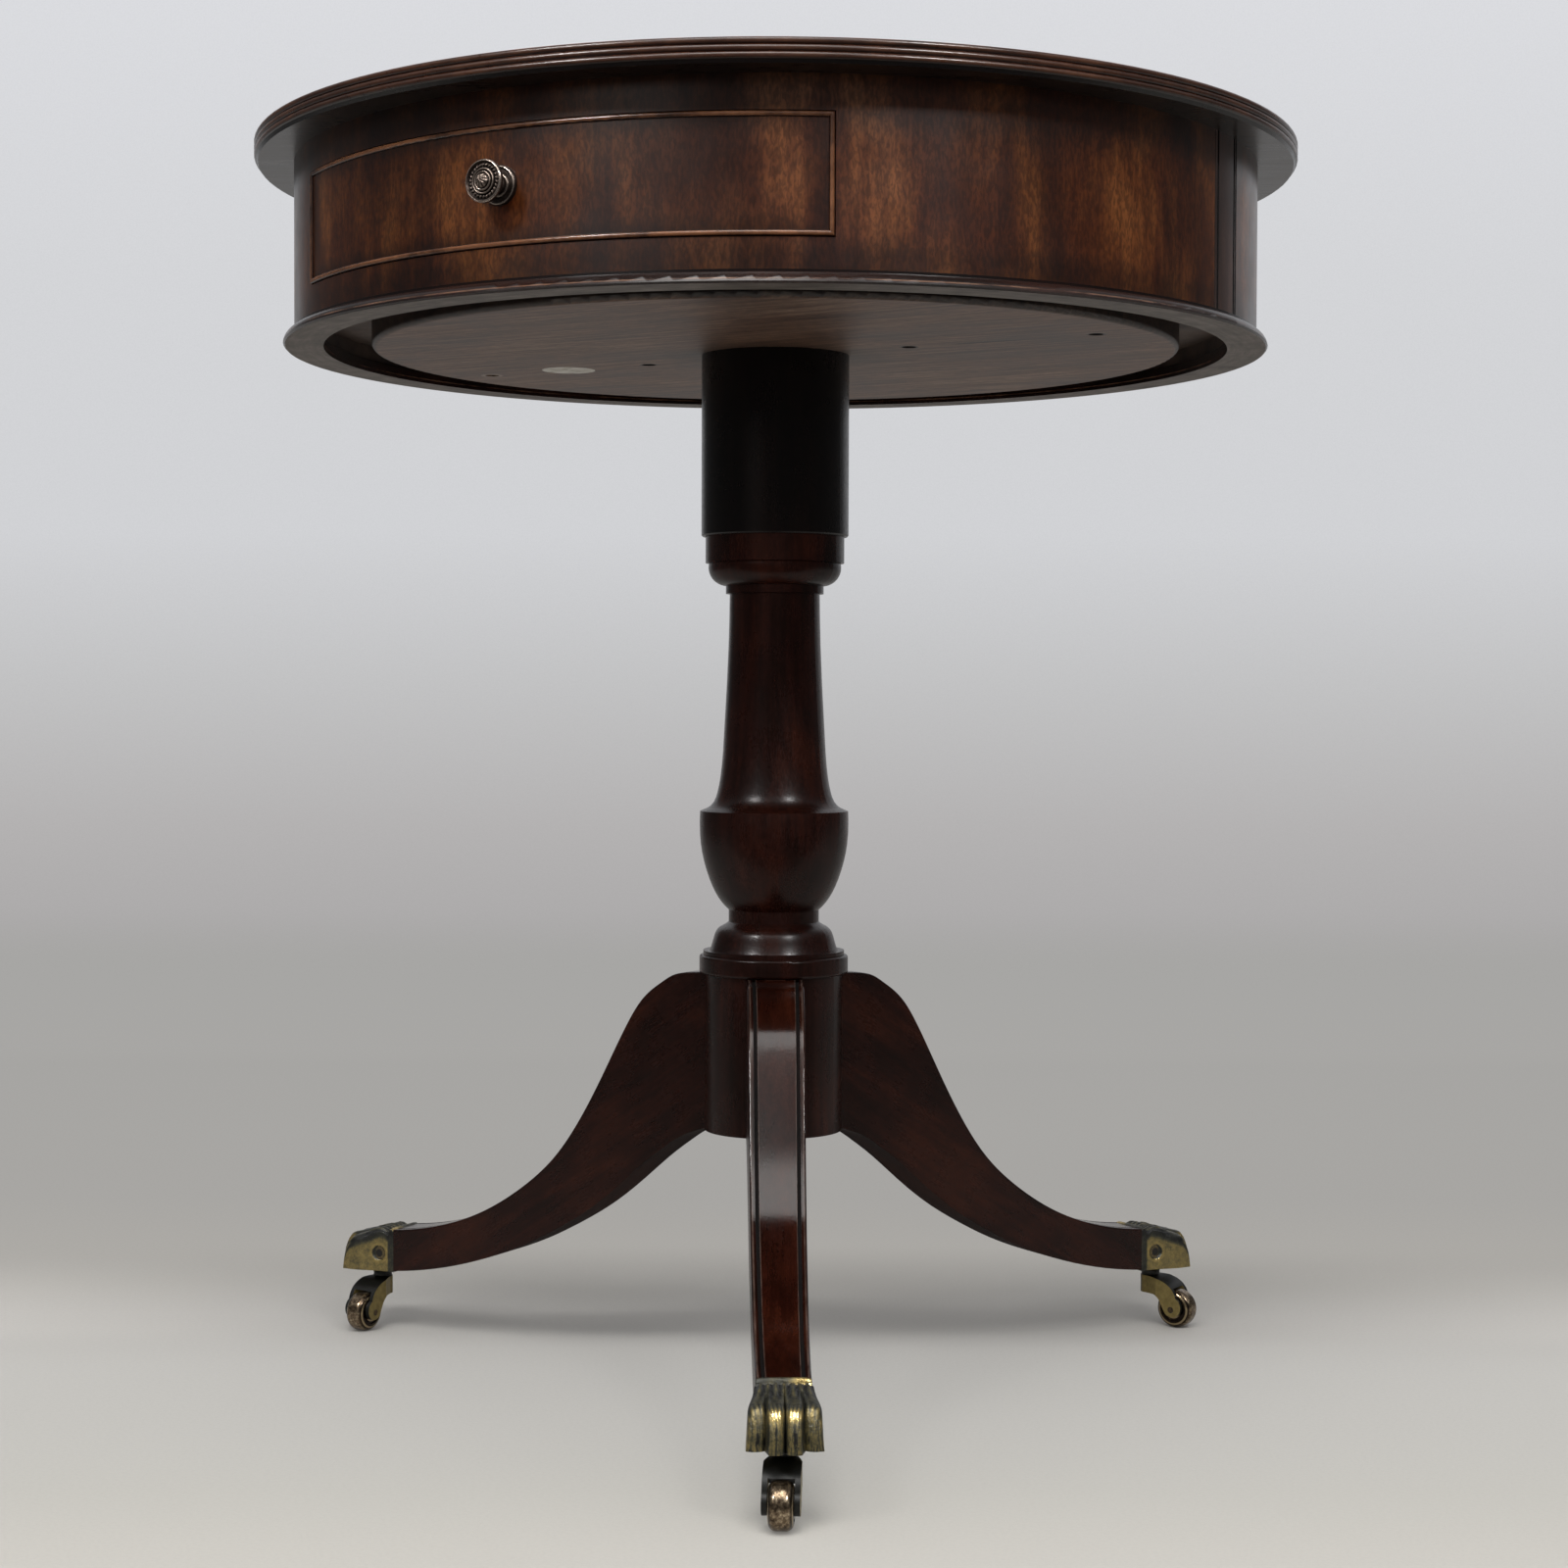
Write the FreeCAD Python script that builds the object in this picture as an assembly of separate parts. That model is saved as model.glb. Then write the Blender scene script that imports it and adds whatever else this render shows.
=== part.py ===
import FreeCAD, Part
import math
import os

from FreeCAD import Vector

# A drum table: a round top on a shallow drum with one drawer, which turns on a
# pillar with three sabre legs, lion-paw toes and casters.
# All lengths are in millimetres. The floor is Z = 0 and the pillar's axis is the
# Z axis. An azimuth is counted in degrees from -Y, the drawer's side, towards +X.

# Whole table
table_height = 728.0
top_radius = 305.0
leg_count = 3
first_leg_azimuth = 30.8

# Clearances
glue_gap = 0.1
running_gap = 0.3
pin_clearance = 0.05
bearing_clearance = 0.08
drawer_gap = 0.5
guide_gap = 0.6
overrun = 6.0

# Top
top_thickness = 12.4
lipping_width = 45.0
lipping_segments = 2
lipping_joint_azimuth = 107.0
reed_count = 3
reed_pitch = 3.5
reed_depth = 1.2
lipping_chamfer = 1.1

# Drum: frieze, corner strips and base moulding
top_overhang = 22.7
frieze_thickness = 14.3
frieze_height = 96.4
strip_width = 33.0
strip_depth = 4.5
strip_azimuth = 90.0
groove_from_middle = 12.2
groove_width = 1.6
groove_depth = 1.5
moulding_height = 7.6
moulding_projection = 6.5
moulding_inset = 2.3
moulding_toe = 1.0
moulding_fillet_height = 1.5
moulding_fillet_projection = 1.3
moulding_bulge_shares = (0.79, 0.62)

# Bearing board and what it turns on
board_margin = 30.0
board_thickness = 16.0
board_round = 3.0
board_recess = 0.4
strap_end_margin = 20.0
strap_width = 40.0
strap_thickness = 4.0
strap_screw_shares = (0.374, 0.8655)
plug_radius = 16.5
plug_depth = 6.0
plug_place_share = 0.622
bolt_radius = 6.0
bolt_depth = 40.0
bolt_end = 3.5
washer_radius = 17.0
washer_thickness = 2.5
nut_across_flats = 22.0
nut_height = 9.0
fixing_angles = (60, 120, 240, 300)
fixing_circle = 32.0
fixing_length = 44.0

# Screws: shank radius, head radius and head height
screw_radius = 2.0
screw_head_radius = 4.2
screw_head_height = 2.6
screw_sink = 1.4
screw_tip = 0.8

# Drum floor and glue blocks
floor_thickness = 6.7
block_length = 48.0
block_width = 24.0
block_height = 20.0
block_azimuths = (60, 105, 150, 180, -150, -105, -60)
top_screw_bite = 8.0

# Drawer
drawer_half_angle = 35.5
drawer_height = 61.3
drawer_sill = 16.5
drawer_front_thickness = 18.0
bead_width = 2.8
bead_depth = 11.0
bead_proud = 1.5
drawer_side_thickness = 9.0
drawer_side_height = 50.5
drawer_back_thickness = 9.0
drawer_back_place = 30.0
drawer_bottom_thickness = 5.0
drawer_bottom_rise = 5.5
drawer_groove = 4.0
drawer_travel_share = 0.5945

# Runners, kickers and stops
runner_height = 3.6
runner_width = 19.0
guide_width = 8.0
guide_height = 20.0
runner_back_room = 12.0
kicker_width = 14.0
stop_width = 40.0
stop_thickness = 12.0
stop_drop = 4.5
back_stop_height = 12.0
back_stop_place_share = 0.6

# Knob
rose_radius = 10.2
rose_thickness = 2.6
rose_sink = 1.4
knob_radius = 11.0
knob_projection = 18.4
knob_stem_radius = 2.4
knob_neck_radius = 4.0
knob_nut_across_flats = 9.0
knob_nut_height = 4.0
knob_stem_end = 1.5

# Knob and rose outlines: shares of the radius, and of the thickness or the projection
rose_rim_shares = ((1.0, 0.5), (0.93, 1.0), (0.86, 0.6))
rose_ring_shares = ((0.62, 0.6), (0.54, 1.0), (0.46, 0.8))
knob_neck_shares = ((0.0, 0.0), (0.25, -0.08), (0.55, 0.1), (0.8, 0.5), (1.0, 0.93))
knob_rim_shares = ((1.0, 0.77), (0.93, 0.85))
knob_dish_shares = ((0.84, 0.8), (0.64, 0.81))
knob_ring_shares = ((0.57, 0.89), (0.48, 0.87))
knob_rim_foot_share = 0.7

# Pillar, from the floor up: heights of its members
pillar_clearance = 150.0
base_block_height = 94.0
collar_height = 11.1
base_fillet_height = 2.7
swell_height = 17.1
neck_height = 7.1
urn_height = 59.0
shoulder_height = 2.0
shaft_fillet_height = 4.7
ovolo_height = 13.6
step_height = 15.7
head_height = 107.4
tenon_length = 60.0

# Pillar: radii of its members
base_block_radius = 41.0
collar_radius = 44.5
collar_round = 1.6
base_fillet_radius = 42.2
swell_radius = 38.4
neck_radius = 27.0
urn_radius = 44.4
shaft_foot_radius = 39.7
shaft_radius = 26.9
shaft_fillet_radius = 29.2
ovolo_radius = 39.3
step_radius = 41.4
head_radius = 43.9
head_round = 0.8
tenon_radius = 20.0
ovolo_bulge_shares = (0.8, 0.31)

# Turned curves: shares of a member's height, and of the way between its end radii
swell_shares = ((0.0, 0.0), (0.32, 0.17), (0.55, 0.27), (0.7, 0.38), (0.83, 0.6), (0.93, 0.88), (1.0, 1.0))
urn_shares = ((0.0, 0.0), (0.07, 0.23), (0.22, 0.54), (0.42, 0.79), (0.59, 0.93), (0.8, 1.0), (1.0, 0.995))
shaft_shares = (
    (0.0, 0.0), (0.02, 0.23), (0.07, 0.445), (0.16, 0.61), (0.345, 0.75), (0.56, 0.868), (0.78, 0.96),
    (1.0, 1.0)
)

# Legs: each runs out from its seat on the base block to the toe
leg_seat = 37.5
leg_reach = 271.0
leg_toe_top = 65.8
leg_toe_bottom = 39.2
leg_root_width = 33.3
leg_taper = 4.9
leg_tenon_depth = 12.0
leg_tenon_width = 12.0
leg_groove_width = 2.2
leg_bead_width = 2.9
leg_groove_depth = 1.8
leg_bead_round = 0.9
leg_groove_slope = 60.0
toe_tenon_length = 24.0
toe_tenon_wall = 3.4

# Leg outlines: shares of the reach from the seat, and of the fall from root to toe
leg_top_shares = (
    (0.0, 1.0), (0.058, 0.995), (0.1, 0.983), (0.133, 0.958), (0.167, 0.927), (0.194, 0.894),
    (0.218, 0.853), (0.242, 0.802), (0.312, 0.634), (0.389, 0.461), (0.474, 0.315), (0.582, 0.196),
    (0.713, 0.096), (0.863, 0.029), (1.0, 0.0)
)
leg_under_shares = (
    (0.0, 1.0), (0.03, 0.979), (0.071, 0.944), (0.125, 0.872), (0.18, 0.787), (0.2415, 0.678),
    (0.361, 0.48), (0.488, 0.322), (0.546, 0.26), (0.692, 0.138), (0.84, 0.052), (1.0, 0.0)
)

# Claws: hollow brass toes over the ends of the legs
claw_length = 44.5
claw_bottom = 38.4
claw_height = 28.2
claw_flare_share = 1.366
claw_screw_place = 11.0
claw_screw_height = 11.5
claw_screw_length = 9.0
claw_screw_proud = 0.2

# Claw outlines: shares of its length and height, and of its length and half width
claw_rib_shares = ((0.0, 0.965), (0.04, 1.0), (0.085, 0.93))
claw_back_shares = (
    (0.085, 0.93), (0.13, 0.95), (0.28, 1.0), (0.42, 0.95), (0.54, 0.79), (0.7, 0.725), (0.83, 0.615),
    (0.94, 0.4), (1.0, 0.16)
)
claw_side_shares = ((0.0, 0.732), (0.18, 0.742), (0.38, 0.84), (0.58, 0.96), (0.74, 1.0))
claw_outer_toe_shares = ((0.84, 0.775), (0.8, 0.525))
claw_inner_toe_shares = ((1.0, 0.27), (0.91, 0.0))

# Casters: a stem turns in the claw's boss, and the fork trails a wheel
stem_from_leg_end = 19.0
stem_radius = 2.5
stem_height = 14.0
boss_top_radius = 7.5
boss_bottom_radius = 5.6
boss_height = 6.0
caster_trail = 19.5
wheel_radius = 12.3
wheel_width = 12.9
tread_round = 4.2
wheel_ring_radii = (7.7, 5.0)
wheel_ring_width = 1.1
wheel_ring_depth = 0.7
axle_radius = 2.0
fork_width = 19.2
fork_back_radius = 6.4
fork_crown_drop = 11.2
fork_boss_radius = 4.7
fork_wheel_room = 1.1
fork_spread_share = 0.45
caster_azimuths = (25.4, 84.4, -0.6)
leg_names = ("front", "right", "left")

# Fork arm outline: shares of the trail and of the crown's height above the axle
fork_top_shares = ((0.0, 1.0), (0.5, 0.955), (0.93, 0.763), (1.17, 0.38))
fork_under_shares = ((0.81, -0.152), (0.64, 0.152), (0.46, 0.385), (0.3, 0.4375))

# Radii, places and levels worked out from the sizes above
frieze_radius = top_radius - top_overhang
top_underside = table_height - top_thickness
frieze_bottom = top_underside - frieze_height
moulding_bottom = frieze_bottom - moulding_height
board_bottom = moulding_bottom + board_recess
board_top = board_bottom + board_thickness
floor_bottom = board_top + running_gap
floor_top = floor_bottom + floor_thickness
frieze_inner_radius = frieze_radius - frieze_thickness
board_radius = frieze_inner_radius - board_margin
strap_length = 2 * (board_radius - strap_end_margin)
plug_place = board_radius * plug_place_share
leg_toe_width = leg_root_width - leg_taper
claw_toe_width = leg_toe_width * claw_flare_share
stem_place = leg_reach + stem_from_leg_end
drawer_bottom_level = frieze_bottom + drawer_sill
drawer_top_level = drawer_bottom_level + drawer_height
drawer_inner_radius = frieze_radius - drawer_front_thickness
runner_top = floor_top + runner_height
side_bottom = runner_top + running_gap
side_top = side_bottom + drawer_side_height
block_top = pillar_clearance + base_block_height
base_swell_bottom = block_top + collar_height + base_fillet_height
head_bottom = board_bottom - head_height
shaft_bottom = base_swell_bottom + swell_height + neck_height + urn_height + shoulder_height
shaft_height = head_bottom - step_height - ovolo_height - shaft_fillet_height - shaft_bottom
drawer_length = frieze_radius - drawer_back_place
drawer_travel = drawer_length * drawer_travel_share
bolt_top = floor_top + running_gap + washer_thickness + nut_height + bolt_end
crown_top = claw_bottom - boss_height - running_gap
half_opening = math.radians(drawer_half_angle)
drawer_outer_half = (frieze_inner_radius * math.sin(half_opening)) - 2 * guide_gap
drawer_inner_half = drawer_outer_half - drawer_side_thickness

origin = Vector(0, 0, 0)
up = Vector(0, 0, 1)


class Outline:
    """A chain of edges in the plane of a distance from the Z axis and a height."""

    def __init__(self, x, z):
        self.start = Vector(x, 0, z)
        self.last = self.start
        self.edges = []

    def line(self, x, z):
        end = Vector(x, 0, z)
        self.edges.append(Part.LineSegment(self.last, end).toShape())
        self.last = end
        return self

    def arc(self, through, end):
        middle = Vector(through[0], 0, through[1])
        end = Vector(end[0], 0, end[1])
        self.edges.append(Part.Arc(self.last, middle, end).toShape())
        self.last = end
        return self

    def curve(self, points):
        places = [Vector(x, 0, z) for x, z in points]
        spline = Part.BSplineCurve()
        spline.interpolate(places)
        self.edges.append(spline.toShape())
        self.last = places[-1]
        return self

    def face(self):
        if self.last.distanceToPoint(self.start) > 0:
            self.line(self.start.x, self.start.z)
        return Part.Face(Part.Wire(Part.__sortEdges__(self.edges)))


def turned(outline):
    """Turns an outline about the Z axis."""
    return outline.face().revolve(origin, up, 360)


def slab(outline, width):
    """Gives an outline a thickness across, half on each side of its plane."""
    face = outline.face()
    face.translate(Vector(0, -width / 2, 0))
    return face.extrude(Vector(0, width, 0))


def turn_to(shape, azimuth):
    """Turns a shape made along +X so that it points to an azimuth."""
    shape.rotate(origin, up, azimuth - 90)
    return shape


def ring(inner, outer, bottom, top):
    """A plain ring, or a disc where the inner radius is zero."""
    return turned(Outline(inner, bottom).line(outer, bottom).line(outer, top).line(inner, top))


def sector(inner, outer, bottom, top, azimuth, half_angle):
    """A ring's sector about an azimuth."""
    outline = Outline(inner, bottom).line(outer, bottom).line(outer, top).line(inner, top)
    return turn_to(outline.face().revolve(origin, up, 2 * half_angle), azimuth - half_angle)


def block(x0, x1, y0, y1, z0, z1):
    """A box between three pairs of limits."""
    return Part.makeBox(x1 - x0, y1 - y0, z1 - z0, Vector(x0, y0, z0))


def cylinder(radius, bottom, top, x=0, y=0):
    return Part.makeCylinder(radius, top - bottom, Vector(x, y, bottom), up)


def hexagon(across_flats, bottom, top):
    """A six-sided nut's body on the Z axis."""
    corner = across_flats / 2 / math.cos(math.radians(30))
    corners = [Vector(corner, 0, bottom)]
    for index in range(1, 7):
        angle = math.radians(60 * index)
        corners.append(Vector(corner * math.cos(angle), corner * math.sin(angle), bottom))
    return Part.Face(Part.makePolygon(corners)).extrude(Vector(0, 0, top - bottom))


def between(shares, x0, x1, z0, z1):
    """Places a table of shares between two pairs of limits."""
    return [(x0 + (x1 - x0) * a, z0 + (z1 - z0) * b) for a, b in shares]


def group(solids):
    return Part.makeCompound(solids)


def save(name, shape):
    """Writes one piece, and prints how many solids it holds."""
    shape.exportStep(os.path.join("parts", name + ".step"))
    valid = shape.isValid()
    print(name, "solids", len(shape.Solids), "volume", round(shape.Volume), "valid", valid)


def wood_screw(length, clearance):
    """A countersunk screw that points up from Z = 0, or its hole if a clearance is given."""
    shank = screw_radius + clearance
    head = screw_head_radius + clearance
    outline = Outline(0, 0).line(head, 0).line(shank, screw_head_height).line(shank, length)
    return turned(outline.line(0, length + screw_tip))


def reeded_edge(outline, bottom):
    """Adds the reeds of the top's edge to an outline that has reached the edge's foot."""
    for index in range(reed_count):
        low = bottom + index * reed_pitch
        high = low + reed_pitch
        outline.arc((top_radius, (low + high) / 2), (top_radius - reed_depth, high))
    return outline


def top_board():
    board = cylinder(top_radius - lipping_width - glue_gap, top_underside, table_height)
    for azimuth in block_azimuths:
        board = board.cut(block_screw(azimuth, pin_clearance))
    return board


def top_lipping():
    """The moulded rim, of segments butted end to end."""
    inner = top_radius - lipping_width
    edge = top_radius - reed_depth
    foot = table_height - reed_count * reed_pitch
    outline = Outline(inner, top_underside).line(edge - lipping_chamfer, top_underside).line(edge, foot)
    outline = reeded_edge(outline, foot).line(inner, table_height)
    half = 180 / lipping_segments
    pieces = []
    for index in range(lipping_segments):
        piece = outline.face().revolve(origin, up, 2 * half)
        pieces.append(turn_to(piece, lipping_joint_azimuth + 2 * half * index))
    return group(pieces)


def strip_housing():
    """The two shallow housings that the corner strips lie in."""
    half = math.degrees((strip_width / 2 + glue_gap) / frieze_radius)
    inner = frieze_radius - strip_depth - glue_gap
    bottom = frieze_bottom - overrun
    top = top_underside + overrun
    sides = (strip_azimuth, -strip_azimuth)
    return group([sector(inner, frieze_radius + overrun, bottom, top, side, half) for side in sides])


def frieze_front():
    """The half of the drum's wall that holds the drawer."""
    wall = sector(frieze_inner_radius, frieze_radius, frieze_bottom, top_underside, 0, strip_azimuth)
    opening = sector(
        frieze_inner_radius - overrun, frieze_radius + overrun,
        drawer_bottom_level - drawer_gap, drawer_top_level + drawer_gap,
        0, drawer_half_angle + math.degrees(drawer_gap / frieze_radius)
    )
    return wall.cut(opening).cut(strip_housing())


def frieze_back():
    """The plain half of the drum's wall."""
    half = 180 - strip_azimuth
    wall = sector(frieze_inner_radius, frieze_radius, frieze_bottom, top_underside, 180, half)
    return wall.cut(strip_housing())


def strip(azimuth):
    """A flush upright strip with a groove along each edge."""
    half = math.degrees(strip_width / 2 / frieze_radius)
    piece = sector(frieze_radius - strip_depth, frieze_radius, frieze_bottom, top_underside, azimuth, half)
    groove_half = math.degrees(groove_width / 2 / frieze_radius)
    for side in (-1, 1):
        middle = azimuth + side * math.degrees(groove_from_middle / frieze_radius)
        groove = sector(
            frieze_radius - groove_depth, frieze_radius + overrun,
            frieze_bottom - overrun, top_underside + overrun, middle, groove_half
        )
        piece = piece.cut(groove)
    return piece


def base_moulding():
    """The ring under the frieze: a quarter-round below a small fillet."""
    outer = frieze_radius + moulding_projection
    neck = frieze_radius + moulding_fillet_projection
    top = frieze_bottom - moulding_fillet_height
    toe = moulding_bottom + moulding_toe
    across_share, up_share = moulding_bulge_shares
    bulge = (frieze_radius + moulding_projection * across_share, toe + (top - toe) * up_share)
    inner = frieze_inner_radius - moulding_inset
    outline = Outline(inner, moulding_bottom).line(outer - moulding_toe, moulding_bottom).line(outer, toe)
    outline.arc(bulge, (neck + moulding_toe, top)).line(neck, top).line(neck, frieze_bottom)
    return turned(outline.line(inner, frieze_bottom))


def drum_floor():
    """The disc that turns on the bearing board."""
    floor = cylinder(frieze_inner_radius - glue_gap, floor_bottom, floor_top)
    return floor.cut(cylinder(bolt_radius + bearing_clearance, floor_bottom - overrun, floor_top + overrun))


def block_screw(azimuth, clearance):
    """The screw that holds the top down to a glue block."""
    bottom = top_underside - block_height
    screw = wood_screw(block_height + top_screw_bite - screw_tip, clearance)
    screw.translate(Vector(frieze_inner_radius - block_width / 2 - glue_gap, 0, bottom))
    return turn_to(screw, azimuth)


def top_blocks():
    """Glue blocks in the corner between the frieze and the top."""
    outer = frieze_inner_radius - glue_gap
    bottom = top_underside - block_height
    room = cylinder(outer, bottom, top_underside)
    pieces = []
    for azimuth in block_azimuths:
        half = block_length / 2
        piece = block(outer - block_width, outer, -half, half, bottom, top_underside)
        piece = turn_to(piece, azimuth).common(room)
        pieces.append(piece.cut(block_screw(azimuth, pin_clearance)))
    return group(pieces)


def top_screws():
    return group([block_screw(azimuth, 0) for azimuth in block_azimuths])


def strap_screws(clearance):
    """Four screws, up through the board and into the iron strap."""
    length = board_thickness - screw_sink - screw_tip - glue_gap
    pieces = []
    for share in strap_screw_shares:
        for side in (-1, 1):
            piece = wood_screw(length, clearance)
            piece.translate(Vector(side * board_radius * share, 0, board_bottom + screw_sink))
            pieces.append(piece)
    return pieces


def head_fixings(clearance):
    """Screws from the board's upper face down into the head of the pillar."""
    pieces = []
    for degrees in fixing_angles:
        angle = math.radians(degrees)
        piece = wood_screw(fixing_length, clearance)
        piece.rotate(origin, Vector(1, 0, 0), 180)
        x = fixing_circle * math.cos(angle)
        y = fixing_circle * math.sin(angle)
        piece.translate(Vector(x, y, board_top - screw_sink))
        pieces.append(piece)
    return pieces


def screw_wells(bottom, depth):
    """Round wells that let the heads of the strap's screws in from below."""
    well_radius = screw_head_radius + pin_clearance
    wells = []
    for share in strap_screw_shares:
        for side in (-1, 1):
            x = side * board_radius * share
            wells.append(cylinder(well_radius, bottom - overrun, bottom + depth, x))
    return wells


def turntable_board():
    """The round board on the pillar that carries the drum."""
    radius = board_radius
    outline = Outline(0, board_bottom).line(radius - board_round, board_bottom)
    low = board_round * (1 - math.sqrt(0.5))
    outline.arc((radius - low, board_bottom + low), (radius, board_bottom + board_round))
    board = turned(outline.line(radius, board_top).line(0, board_top))
    board = board.cut(block(
        -strap_length / 2 - glue_gap, strap_length / 2 + glue_gap,
        -strap_width / 2 - glue_gap, strap_width / 2 + glue_gap,
        board_top - strap_thickness - glue_gap, board_top + overrun
    ))
    board = board.cut(cylinder(bolt_radius + pin_clearance, board_bottom - overrun, board_top))
    plug_top = board_bottom + plug_depth
    board = board.cut(cylinder(plug_radius + glue_gap, board_bottom - overrun, plug_top, -plug_place))
    wells = screw_wells(board_bottom, screw_sink) + strap_screws(pin_clearance)
    well_radius = screw_head_radius + pin_clearance
    for fixing in head_fixings(pin_clearance):
        middle = fixing.BoundBox.Center
        wells.append(fixing)
        wells.append(cylinder(well_radius, board_top - screw_sink, board_top + overrun, middle.x, middle.y))
    return board.cut(wells)


def bearing_strap():
    """An iron strap, let in flush across the board."""
    strap = block(
        -strap_length / 2, strap_length / 2, -strap_width / 2, strap_width / 2,
        board_top - strap_thickness, board_top
    )
    strap = strap.cut(cylinder(bolt_radius + pin_clearance, board_bottom, board_top + overrun))
    return strap.cut(strap_screws(pin_clearance))


def hole_plug():
    return cylinder(plug_radius, board_bottom, board_bottom + plug_depth - glue_gap, -plug_place)


def pivot_bolt():
    return cylinder(bolt_radius, board_bottom - bolt_depth, bolt_top)


def pivot_washer():
    bottom = floor_top + running_gap
    return ring(bolt_radius + pin_clearance, washer_radius, bottom, bottom + washer_thickness)


def pivot_nut():
    bottom = floor_top + running_gap + washer_thickness
    nut = hexagon(nut_across_flats, bottom, bottom + nut_height)
    return nut.cut(cylinder(bolt_radius + pin_clearance, bottom - overrun, bottom + nut_height + overrun))


def head_block():
    """The plain cylinder at the head of the pillar."""
    outline = Outline(0, head_bottom).line(head_radius - head_round, head_bottom)
    outline.line(head_radius, head_bottom + head_round).line(head_radius, board_bottom)
    outline.line(0, board_bottom)
    body = turned(outline)
    socket_top = head_bottom + tenon_length + glue_gap
    body = body.cut(cylinder(tenon_radius + glue_gap, head_bottom - overrun, socket_top))
    bolt_bottom = board_bottom - bolt_depth - glue_gap
    body = body.cut(cylinder(bolt_radius + pin_clearance, bolt_bottom, board_bottom + overrun))
    return body.cut(head_fixings(pin_clearance))


def column_outline():
    """Half of the pillar's section, from its flat underside to its tenon."""
    outline = Outline(0, pillar_clearance).line(base_block_radius, pillar_clearance)
    outline.line(base_block_radius, block_top)
    level = block_top
    low = collar_round * (1 - math.sqrt(0.5))
    flat = collar_radius - collar_round
    outline.line(flat, level).arc((collar_radius - low, level + low), (collar_radius, level + collar_round))
    level += collar_height
    outline.line(collar_radius, level - collar_round)
    outline.arc((collar_radius - low, level - low), (flat, level))
    outline.line(base_fillet_radius, level).line(base_fillet_radius, level + base_fillet_height)
    level += base_fillet_height
    outline.line(swell_radius, level)
    outline.curve(turned_curve(swell_shares, swell_radius, neck_radius, level, swell_height))
    level += swell_height + neck_height
    outline.line(neck_radius, level)
    outline.curve(turned_curve(urn_shares, neck_radius, urn_radius, level, urn_height))
    level += urn_height + shoulder_height
    outline.line(shaft_foot_radius, level)
    outline.curve(turned_curve(shaft_shares, shaft_foot_radius, shaft_radius, level, shaft_height))
    level += shaft_height
    outline.line(shaft_fillet_radius, level).line(shaft_fillet_radius, level + shaft_fillet_height)
    level += shaft_fillet_height
    across_share, up_share = ovolo_bulge_shares
    bulge = shaft_fillet_radius + (ovolo_radius - shaft_fillet_radius) * across_share
    outline.arc((bulge, level + ovolo_height * up_share), (ovolo_radius, level + ovolo_height))
    level += ovolo_height
    outline.line(step_radius, level).line(step_radius, level + step_height)
    level += step_height
    outline.line(tenon_radius, level).line(tenon_radius, level + tenon_length)
    return outline.line(0, level + tenon_length)


def turned_curve(shares, start_radius, end_radius, bottom, height):
    """Points of a turned curve, from shares of its height and of the change of radius."""
    return [(start_radius + (end_radius - start_radius) * b, bottom + height * a) for a, b in shares]


def leg_housing():
    """The flat seat and the slot that one leg takes in the base block."""
    half = leg_root_width / 2 + glue_gap
    top = block_top
    bottom = pillar_clearance - overrun
    seat = block(leg_seat - glue_gap, base_block_radius + overrun, -half, half, bottom, top)
    slot_half = leg_tenon_width / 2 + glue_gap
    inner = leg_seat - leg_tenon_depth - glue_gap
    return seat.fuse(block(inner, leg_seat, -slot_half, slot_half, bottom, top))


def column():
    body = turned(column_outline())
    for index in range(leg_count):
        body = body.cut(turn_to(leg_housing(), leg_azimuth(index)))
    return body


def leg_azimuth(index):
    return first_leg_azimuth + index * 360 / leg_count


def leg_outline():
    """A leg's side: its top and under edges from the seat to the toe."""
    top = block_top - glue_gap
    upper = between(leg_top_shares, leg_seat, leg_reach, leg_toe_top, top)
    lower = between(leg_under_shares, leg_seat, leg_reach, leg_toe_bottom, pillar_clearance)
    outline = Outline(leg_seat, pillar_clearance).line(leg_seat, top).curve(upper)
    return outline.line(leg_reach, leg_toe_bottom).curve(list(reversed(lower)))


def leg_plan():
    """The leg seen from above, tapering to the toe."""
    corners = [
        Vector(leg_seat, -leg_root_width / 2, 0), Vector(leg_reach, -leg_toe_width / 2, 0),
        Vector(leg_reach, leg_toe_width / 2, 0), Vector(leg_seat, leg_root_width / 2, 0),
        Vector(leg_seat, -leg_root_width / 2, 0)
    ]
    return Part.Face(Part.makePolygon(corners)).extrude(Vector(0, 0, table_height))


def leg_grooves(body):
    """The two grooves that leave a bead along each edge of the leg's upper face."""
    angle = math.radians(leg_groove_slope)
    lowered = body.copy()
    lowered.translate(Vector(-leg_groove_depth * math.cos(angle), 0, -leg_groove_depth * math.sin(angle)))
    skin = body.cut(lowered)
    taper = math.degrees(math.atan2((leg_root_width - leg_toe_width) / 2, leg_reach - leg_seat))
    pieces = []
    for side in (-1, 1):
        outer = leg_root_width / 2 - leg_bead_width
        inner = outer - leg_groove_width
        low, high = sorted((side * inner, side * outer))
        cutter = block(leg_seat - overrun, leg_reach + overrun, low, high, 0, table_height)
        cutter.rotate(Vector(leg_seat, 0, 0), up, -side * taper)
        pieces.append(skin.common(cutter))
    return pieces


def bead_edges(body):
    """The two long outer edges of the leg's upper face."""
    edges = []
    for edge in body.Edges:
        ends = [vertex.Point for vertex in edge.Vertexes]
        high = max(point.z for point in ends)
        wide = min(abs(point.y) for point in ends)
        on_top = high > block_top - 2 * glue_gap
        outside = wide > leg_toe_width / 2 - glue_gap
        if on_top and outside and edge.Length > leg_reach - leg_seat:
            edges.append(edge)
    return edges


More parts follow.
